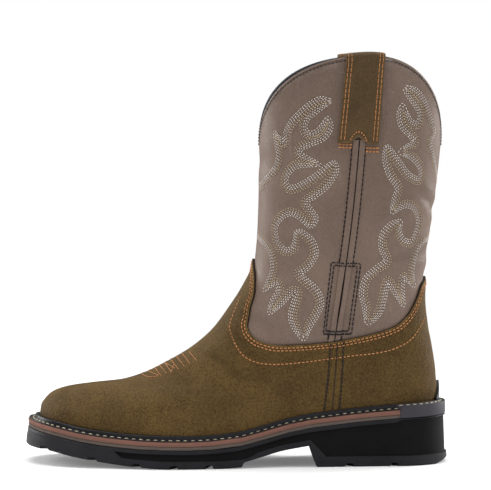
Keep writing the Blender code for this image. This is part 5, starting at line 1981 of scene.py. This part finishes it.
@dataclass
class Stitching:
    """All rows of thread on the leather."""

    band_rows: int = 5
    band_width: float = 0.0056

    def flame(self, sewings: dict[str, Sewing]) -> None:
        """Sew the traced bands of the shaft's ornament on both sides."""
        front = np.vstack((trace_line(CROP_SHAFT_TOP, FLAME_FRONT_TOP),
                           trace_line(CROP_SHAFT_FOOT, FLAME_FRONT_FOOT)))
        back = np.vstack((trace_line(CROP_SHAFT_TOP, FLAME_BACK_TOP),
                          trace_line(CROP_SHAFT_FOOT, FLAME_BACK_FOOT)))
        self.band(sewings, front, -1.0)
        self.band(sewings, trace_line(CROP_SHAFT_TOP, FLAME_FRONT_EDGE), 1.0)
        self.band(sewings, back, 1.0)
        self.band(sewings, trace_line(CROP_SHAFT_TOP, FLAME_BACK_EDGE), -1.0)

    def band(self, sewings: dict[str, Sewing], trace: Array, pale: float) -> None:
        """Sew one band of parallel rows.

        Args:
            sewings: thread by colour.
            trace: columns, rows and shares of width down the band's middle.
            pale: 1 when the off-white rows lie to the right of its run, or else -1.
        """
        line = smooth_line(trace, 14)
        wide = np.clip(line[:, 2], 0.2, 1.0)
        middle = SewnLine(*FORM.photo_place(line[:, 0], line[:, 1], 0.0))
        for number in range(self.band_rows):
            offset = pale * self.band_width * (0.5 - number / (self.band_rows - 1))
            row = middle.shifted(offset * wide)
            outermost = number in (0, self.band_rows - 1)
            for part in stretches(wide > 0.55):
                colour = "white" if number < 3 else "tan"
                self.sew_part(sewings[colour], row, part, number % 2 / 2)
            for part in stretches(wide <= 0.55):
                if outermost:
                    self.sew_part(sewings["white"], row, part, 0.0)

    @staticmethod
    def sew_part(sewing: Sewing, row: SewnLine, part: slice, phase: float) -> None:
        """Sew a stretch of a row on both sides of the boot."""
        SewnLine(row.turn[part], row.level[part]).sew(sewing, FLAME_STITCH, 0.0, phase)

    def brown_edge(self, sewing: Sewing) -> None:
        """Sew the double row under the brown leather's top edge and the accent row."""
        shares = np.linspace(0.0, 2.0, 500)
        level = FORM.edge_level(shares)
        turn = FORM.column_turn(shares, level)
        edge = SewnLine(turn, level)
        for distance in (0.0020, 0.0042):
            edge.shifted(distance).sew(sewing, EDGE_STITCH, OVERLAY_OUT)
        photo_line(ACCENT_ROW, OVERLAY_OUT).sew(sewing, EDGE_STITCH, OVERLAY_OUT)

    def toe_rows(self, sewing: Sewing) -> None:
        """Sew the short rows across the vamp."""
        for pixels in (*TOE_ROWS, TOE_LOOP):
            line = photo_line(pixels, OVERLAY_OUT, 12, False, len(pixels) == 2)
            line.sew(sewing, BUG_STITCH, OVERLAY_OUT)

    def seam_rows(self, sewing: Sewing) -> None:
        """Sew the rows beside the side seams and down their middle, and the box over them."""
        foot = float(FORM.edge_level(np.array([1.0]))[0])
        top = float(Trim().seam_level(STRAP_OUTER_DROP + 0.001)[0])
        box = photo_line(BOX_OUTER, 0.0012, 2, True, True)
        box_top, box_foot = float(box.level[:3].mean()), float(box.level[4:7].mean())
        strip = CLEARANCE + STRIP_THICKNESS
        beside = ((foot + 0.05, box_foot, 0.0), (box_top, top, 0.0))
        middle = ((box_top, top, strip * 0.8),)
        for pixels, size in zip(SEAM_FEET, (FOOT_STITCH, BUTT_STITCH, FOOT_STITCH)):
            photo_line(pixels, OVERLAY_OUT).sew(sewing, size, OVERLAY_OUT + 0.0002)
        for rows, distances, size in ((beside, (-0.0050, 0.0050), SEAM_STITCH),
                                      (middle, (0.0,), BUTT_STITCH)):
            for start, end, height in rows:
                level = np.linspace(start, end, 160)
                centre = SewnLine(FORM.seam_turn(level), level)
                for distance in distances:
                    centre.shifted(distance).sew(sewing, size, height)
        for pixels in (BOX_OUTER, BOX_INNER):
            line = photo_line(pixels, 0.0012, 20, True, True)
            bottom = photo_line((pixels[3], pixels[2]), 0.0012, 20, False, True)
            line.sew(sewing, SEAM_STITCH, self.over_strip(line))
            bottom.sew(sewing, TACK_STITCH, self.over_strip(bottom))

    @staticmethod
    def over_strip(line: SewnLine) -> Array:
        """Height of a line that crosses the side strip."""
        seam = SewnLine(FORM.seam_turn(line.level), line.level)
        away = np.linalg.norm(FORM.skin(line.turn, line.level)
                              - FORM.skin(seam.turn, seam.level), axis=-1)
        top = CLEARANCE + STRIP_THICKNESS * 1.15
        return np.where(away < STRIP_WIDTH / 2, top, 0.0001)

    def collar_row(self, sewing: Sewing) -> None:
        """Sew the black row under the collar's edge."""
        shares = np.linspace(0.0, 2.0, 400)
        level = np.full_like(shares, FORM.top)
        for side in Side:
            turn = FORM.column_turn(shares, level) * side.value
            _, normals, _ = FORM.skin_frame(turn, level)
            points = Trim().collar_points(turn, np.full_like(turn, BINDING_PROUD + 0.0001),
                                          np.full_like(turn, -0.0006))
            sewing.run(points, normals, COLLAR_STITCH)

    def strap_rows(self, sewing: Sewing) -> None:
        """Sew the straps: two rows by each edge, round the notch, and the tacks below."""
        trim = Trim()
        for side in Side:
            grid = trim.strap_grid(side, STRAP_THICKNESS)
            count = grid.shape[1]
            places = np.linspace(-1.0, 1.0, count)
            for across in (-0.86, -0.69, 0.72, 0.885):
                line = np.stack([[np.interp(across, places, row[:, i]) for i in range(3)]
                                 for row in grid])
                ahead = np.gradient(line, axis=0)
                beside = np.stack([row[-1] - row[0] for row in grid])
                normals = unit(np.cross(beside, ahead)) * side.value
                sewing.run(line[1:], normals[1:], STRAP_STITCH)
        face = STRAP_STANDOFF + STRAP_THICKNESS
        photo_line(STRAP_ARCH, face).sew(sewing, ARCH_STITCH, face)
        for pixels in STRAP_TACKS:
            photo_line(pixels, 0.0, 12, False, True).sew(sewing, TACK_STITCH, 0.0003)

    def build(self) -> None:
        """Sew everything and join each thread into its pieces."""
        threads = {"orange": (ORANGE_THREAD, "oiled_brown_leather"),
                   "black": (BLACK_THREAD, "taupe_leather"),
                   "white": (WHITE_THREAD, "taupe_leather"),
                   "tan": (TAN_THREAD, "taupe_leather")}
        sewings = {name: Sewing() for name in threads}
        self.flame(sewings)
        self.brown_edge(sewings["orange"])
        self.toe_rows(sewings["orange"])
        self.strap_rows(sewings["orange"])
        self.seam_rows(sewings["black"])
        self.collar_row(sewings["black"])
        for name, (finish, slot) in threads.items():
            LOG.info("%s thread: %d stitches", name, sewings[name].total)
            sewings[name].piece(f"{name}_stitches", finish, slot)
            # Pale threads also get the painted shade of their needle holes
            if name != "black":
                sewings[name].hole_piece(f"{name}_needle_holes", slot)


@dataclass
class Outsole:
    """Moulded rubber unit with its sunk side panel and the grooves of its tread."""

    PANEL_RINGS = (2, 3, 4)
    stations: int = 260
    edge_round: float = 0.0003

    def __post_init__(self) -> None:
        """Work out the places along the sole and its curves."""
        self.lug_x = (LUG_END - 0.5) * SOLE_LENGTH
        self.arch_x = self.lug_x + LUG_STEP
        self.breast_x = (BREAST_AT - 0.5) * SOLE_LENGTH
        self.heel_x = self.breast_x + BREAST_SLOPE
        self.bevel_x = SOLE_LENGTH / 2 - HEEL_BEVEL_LENGTH
        self.panel_x = (PANEL_START - 0.5) * SOLE_LENGTH
        self.fore = Curve(*zip(*FORE_TREAD))
        self.arch = Curve(*zip(*ARCH))
        self.slant = Curve([r.at for r in GROOVES],
                           [math.tan(math.radians(r.slant)) for r in GROOVES])

    def arch_height(self, x: Array) -> Array:
        """Height of the arch's underside."""
        return ARCH_RISE * self.arch((x - self.arch_x) / (self.breast_x - self.arch_x))

    def tread_height(self, x: Array) -> Array:
        """Height of the underside."""
        fore = TOE_SPRING * self.fore(x / SOLE_LENGTH + 0.5)
        lug = TOE_SPRING * self.fore(self.lug_x / SOLE_LENGTH + 0.5)
        step = mix(lug, self.arch_height(np.array(self.arch_x)), (x - self.lug_x) / LUG_STEP)
        breast = ARCH_RISE * (1.0 - (x - self.breast_x) / BREAST_SLOPE)
        heel = HEEL_BEVEL_RISE * np.maximum(0.0, (x - self.bevel_x) / HEEL_BEVEL_LENGTH)
        return np.select([x <= self.lug_x, x < self.arch_x, x <= self.breast_x, x < self.heel_x],
                         [fore, step, self.arch_height(x), breast], heel)

    def lip_height(self, x: Array) -> Array:
        """Height of the ledge under the side panel."""
        lug = TOE_SPRING * self.fore(self.lug_x / SOLE_LENGTH + 0.5) + LIP_HEIGHT
        arch = (self.arch_height(np.minimum(x, self.breast_x)) + LIP_HEIGHT * ARCH_LIP_SHARE)
        behind = mix(lug, arch, np.minimum(1.0, (x - self.lug_x) / LIP_SLANT))
        heel = mix(arch, HEEL_LIP_HEIGHT, np.minimum(1.0, (x - self.breast_x) / LIP_SLANT))
        return np.select([x <= self.lug_x, x <= self.breast_x],
                         [self.tread_height(x) + LIP_HEIGHT, behind], heel)

    def top_height(self, x: Array) -> Array:
        """Height of the top face."""
        return FORM.sole_top(x) - LAYERS_HEIGHT

    def band_height(self, x: Array) -> Array:
        """Height of the smooth band under the layers, which thins out round the heel."""
        behind = np.clip((x / SOLE_LENGTH + 0.5 - RAND_START) / 0.02, 0.0, 1.0)
        return mix(BAND_HEIGHT, BAND_HEEL_HEIGHT, behind)

    def groove(self, along: Array) -> Array:
        """Depth of the tread grooves at shares of the length."""
        half = GROOVE_WIDTH / 2 / SOLE_LENGTH
        depth = np.zeros_like(along)
        for row in GROOVES:
            away = np.abs(along - row.at)
            share = (half - away) / (half * (1.0 - GROOVE_TOP_SHARE))
            depth = np.maximum(depth, GROOVE_DEPTH * np.clip(share, 0.0, 1.0))
        return depth

    def columns(self) -> Array:
        """Shares of the length for the sections."""
        half = GROOVE_WIDTH / 2 / SOLE_LENGTH
        fixed = [x / SOLE_LENGTH + 0.5 for x in (
            self.lug_x, self.arch_x, self.breast_x, self.heel_x, self.breast_x + LIP_SLANT,
            self.lug_x + LIP_SLANT, self.panel_x, self.panel_x + PANEL_RAMP, self.bevel_x)]
        for row in GROOVES:
            for reach in (-1.0, -GROOVE_TOP_SHARE, GROOVE_TOP_SHARE, 1.0):
                fixed.append(row.at + reach * half)
        even = (1.0 - np.cos(np.linspace(0.0, math.pi, self.stations + 1))) / 2
        fixed = np.array(fixed)
        free = [s for s in even if np.abs(fixed - s).min() > 0.0016]
        return np.array(sorted([*free, *fixed]))

    def ring(self, along: Array, inset: Array | float,
             height: Callable[[Array], Array]) -> Array:
        """Closed ring round the sole: tip, inner side, heel, outer side."""
        inset = np.broadcast_to(inset, along.shape)
        x, low, high = FORM.raw_edges(along, inset)
        inner = np.stack((x, high + FORM.centring, height(x)), axis=-1)
        outer = np.stack((x, low + FORM.centring, height(x)), axis=-1)
        return np.concatenate((inner, outer[-2:0:-1]))

    def build(self) -> Object:
        """Make the outsole."""
        along = self.columns()
        x = (along - 0.5) * SOLE_LENGTH
        sunk = PANEL_DEPTH * np.clip((x - self.panel_x) / PANEL_RAMP, 0.0, 1.0)
        near = np.clip(1.0 - np.abs(x - self.panel_x) / 0.03, 0.0, 1.0)
        slid = along + PANEL_SLANT / SOLE_LENGTH * near * near * (3.0 - 2.0 * near)
        cut = self.groove(along)
        top, lip = self.top_height, self.lip_height
        rings = [
            self.ring(along, SOLE_FLARE + PANEL_STEP, top),
            self.ring(along, SOLE_FLARE, lambda p: top(p) - PANEL_STEP),
            self.ring(along, BAND_FLARE, lambda p: top(p) - self.band_height(p)),
            self.ring(along, BAND_FLARE + sunk,
                      lambda p: top(p) - self.band_height(p) - PANEL_STEP),
            self.ring(slid, LIP_FLARE + sunk, lambda p: lip(p) + PANEL_STEP),
            self.ring(slid, LIP_FLARE, lip),
            self.ring(along, 0.0, lambda p: self.tread_height(p)
                      + np.maximum(TREAD_CHAMFER, cut)),
            self.ring(along, TREAD_CHAMFER, lambda p: self.tread_height(p) + cut),
        ]
        for inset in (0.008, 0.016, GROOVE_LENGTH - 0.004):
            shifted = np.clip(along + inset * self.slant(along) / SOLE_LENGTH, 0.0, 1.0)
            rings.append(self.ring(np.where(cut > 0, shifted, along), inset,
                                   lambda p: self.tread_height(p) + cut))
        rings.append(self.ring(along, GROOVE_LENGTH, self.tread_height))
        grid = np.stack(rings)[::-1]
        levels, count = grid.shape[:2]
        faces = [(a, d, c, b) for a, b, c, d in tube_faces(levels, count, False)[:-2]]
        station = np.concatenate((x, x[-2:0:-1]))
        inside = np.minimum(station, np.roll(station, -1)) >= self.panel_x - 1e-6
        slots = [int(levels - 2 - j in self.PANEL_RINGS and inside[k])
                 for j in range(levels - 1) for k in range(count)]
        half = count // 2
        for start, flip in ((0, False), ((levels - 1) * count, True)):
            caps = [(start, start + 1, start + count - 1)]
            caps += [(start + k, start + k + 1, start + count - k - 1, start + count - k)
                     for k in range(1, half - 1)]
            caps.append((start + half - 1, start + half, start + half + 1))
            faces += [face[::-1] if flip else face for face in caps]
            slots += [0] * len(caps)
        piece = new_piece("outsole_unit", grid.reshape(-1, 3), faces,
                          [OUTSOLE_RUBBER.build(), PANEL_RUBBER.build()], None,
                          slots)
        soften(piece, self.edge_round)
        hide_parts("outsole")
        return piece


@dataclass
class Sole:
    """Finishes of the sole's solids, which keep their own shapes."""

    edge_round: float = 0.0003

    def dress(self, node: str, finishes: list[Moulded | Leather]) -> Object:
        """Give a solid its finish and soft edges."""
        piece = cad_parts[node]
        made = [finish.build() for finish in finishes]
        for number, slot in enumerate(piece.material_slots):
            slot.material = made[min(number, len(made) - 1)]
        soften(piece, self.edge_round)
        LOG.info("%s dressed", node)
        return piece

    def build(self) -> None:
        """Dress every solid of the sole."""
        self.dress("midsole", [RUST_LAYER])
        self.dress("midsole_base", [GREY_LAYER])
        self.dress("insole", [INSOLE])
        self.dress("spur_ledge", [WELT_RUBBER])


@dataclass
class Studio:
    """Pale floor, soft lights and the camera."""

    floor_half: float = 6.0
    floor_colour: Colour = (0.90, 0.90, 0.90)
    room_light: float = 0.22
    lit_radius: float = 0.42
    near_glow: float = 0.16
    far_bounce: float = 0.20

    def build_floor(self) -> None:
        """Lay the flat floor, which glows faintly near the boot and shows white away from it."""
        made, graph, shader = start_material("studio_floor")
        place = graph.place()
        away = graph.node("VectorMath", {"operation": "LENGTH"})
        graph.feed(away.inputs[0], place)
        far = graph.ranged(away.outputs["Value"], self.lit_radius, self.lit_radius * 2.2, 0.0,
                           1.0)
        graph.feed(shader.inputs["Base Color"],
                   graph.blend(far, self.floor_colour, (0.0, 0.0, 0.0)))
        seen = graph.node("LightPath").outputs["Is Camera Ray"]
        glow = graph.blend(far, (self.near_glow,) * 3, (1.0, 1.0, 1.0))
        shade = graph.blend(far, (0.0, 0.0, 0.0), (self.far_bounce,) * 3)
        graph.feed(shader.inputs["Emission Color"], graph.blend(seen, shade, glow))
        settle(shader, Emission_Strength=1.0, Roughness=0.9, Specular_IOR_Level=0.1)
        size = self.floor_half
        mesh = bpy.data.meshes.new("floor")
        rows = [(-size, -size, 0.0), (size, -size, 0.0), (size, size, 0.0), (-size, size, 0.0)]
        mesh.from_pydata(rows, [], [(0, 1, 2, 3)])
        mesh.materials.append(made)
        put("floor", mesh)

    def build_world(self) -> None:
        """Light the room evenly, and show it white."""
        world = bpy.data.worlds.new("studio")
        world.use_nodes = True
        graph = Graph(world.node_tree)
        soft = settle(world.node_tree.nodes["Background"], Color=(1.0, 1.0, 1.0, 1.0),
                      Strength=self.room_light)
        seen = graph.node("Background", Color=(1.0, 1.0, 1.0), Strength=1.0)
        joined = graph.node("MixShader")
        graph.feed(joined.inputs[0], graph.node("LightPath").outputs["Is Camera Ray"])
        graph.feed(joined.inputs[1], soft.outputs[0])
        graph.feed(joined.inputs[2], seen.outputs[0])
        out = world.node_tree.nodes["World Output"]
        graph.feed(out.inputs["Surface"], joined.outputs[0])
        bpy.context.scene.world = world
        bpy.context.scene.view_settings.view_transform = "Standard"

    def add_light(self, name: str, place: Place, size: float, power: float) -> None:
        """Hang a soft square light aimed at the boot.

        Args:
            name: name of the light.
            place: its position.
            size: its side.
            power: its power in watts.
        """
        light = bpy.data.lights.new(name, "AREA")
        light.shape = "SQUARE"
        light.size = size
        light.energy = power
        lamp = put(name, light)
        lamp.location = place
        aim = Vector(LIGHT_AIM) - Vector(place)
        lamp.rotation_euler = aim.to_track_quat("-Z", "Y").to_euler()

    def build_camera(self) -> None:
        """Set the camera at the photograph's angle."""
        eye, _, _, ahead = camera_axes()
        view = bpy.data.cameras.new("photo_view")
        view.lens = LENS_MM
        view.sensor_width = SENSOR_MM
        camera = put("photo_view", view)
        camera.location = eye
        camera.rotation_euler = Vector(ahead).to_track_quat("-Z", "Y").to_euler()
        bpy.context.scene.camera = camera

    def build(self) -> None:
        """Set up the studio."""
        self.build_floor()
        self.build_world()
        self.add_light("overhead", (0.0, 0.1, 2.2), 2.4, 56.0)
        self.add_light("key", (-1.3, -1.2, 0.9), 0.7, 7.5)
        self.add_light("fill", (1.9, -0.9, 0.7), 1.0, 10.0)
        self.add_light("left_rim", (-1.3, 0.9, 0.6), 0.8, 15.0)
        self.add_light("right_rim", (1.3, 0.9, 0.6), 0.8, 17.0)
        self.build_camera()


def main() -> None:
    """Build the looks of the boot in order."""
    logging.basicConfig(level=logging.INFO, format="%(name)s: %(message)s")
    Studio().build()
    Upper().build()
    Trim().build()
    Rims().build()
    Outsole().build()
    Stitching().build()
    Sole().build()


if __name__ == "__main__":
    main()
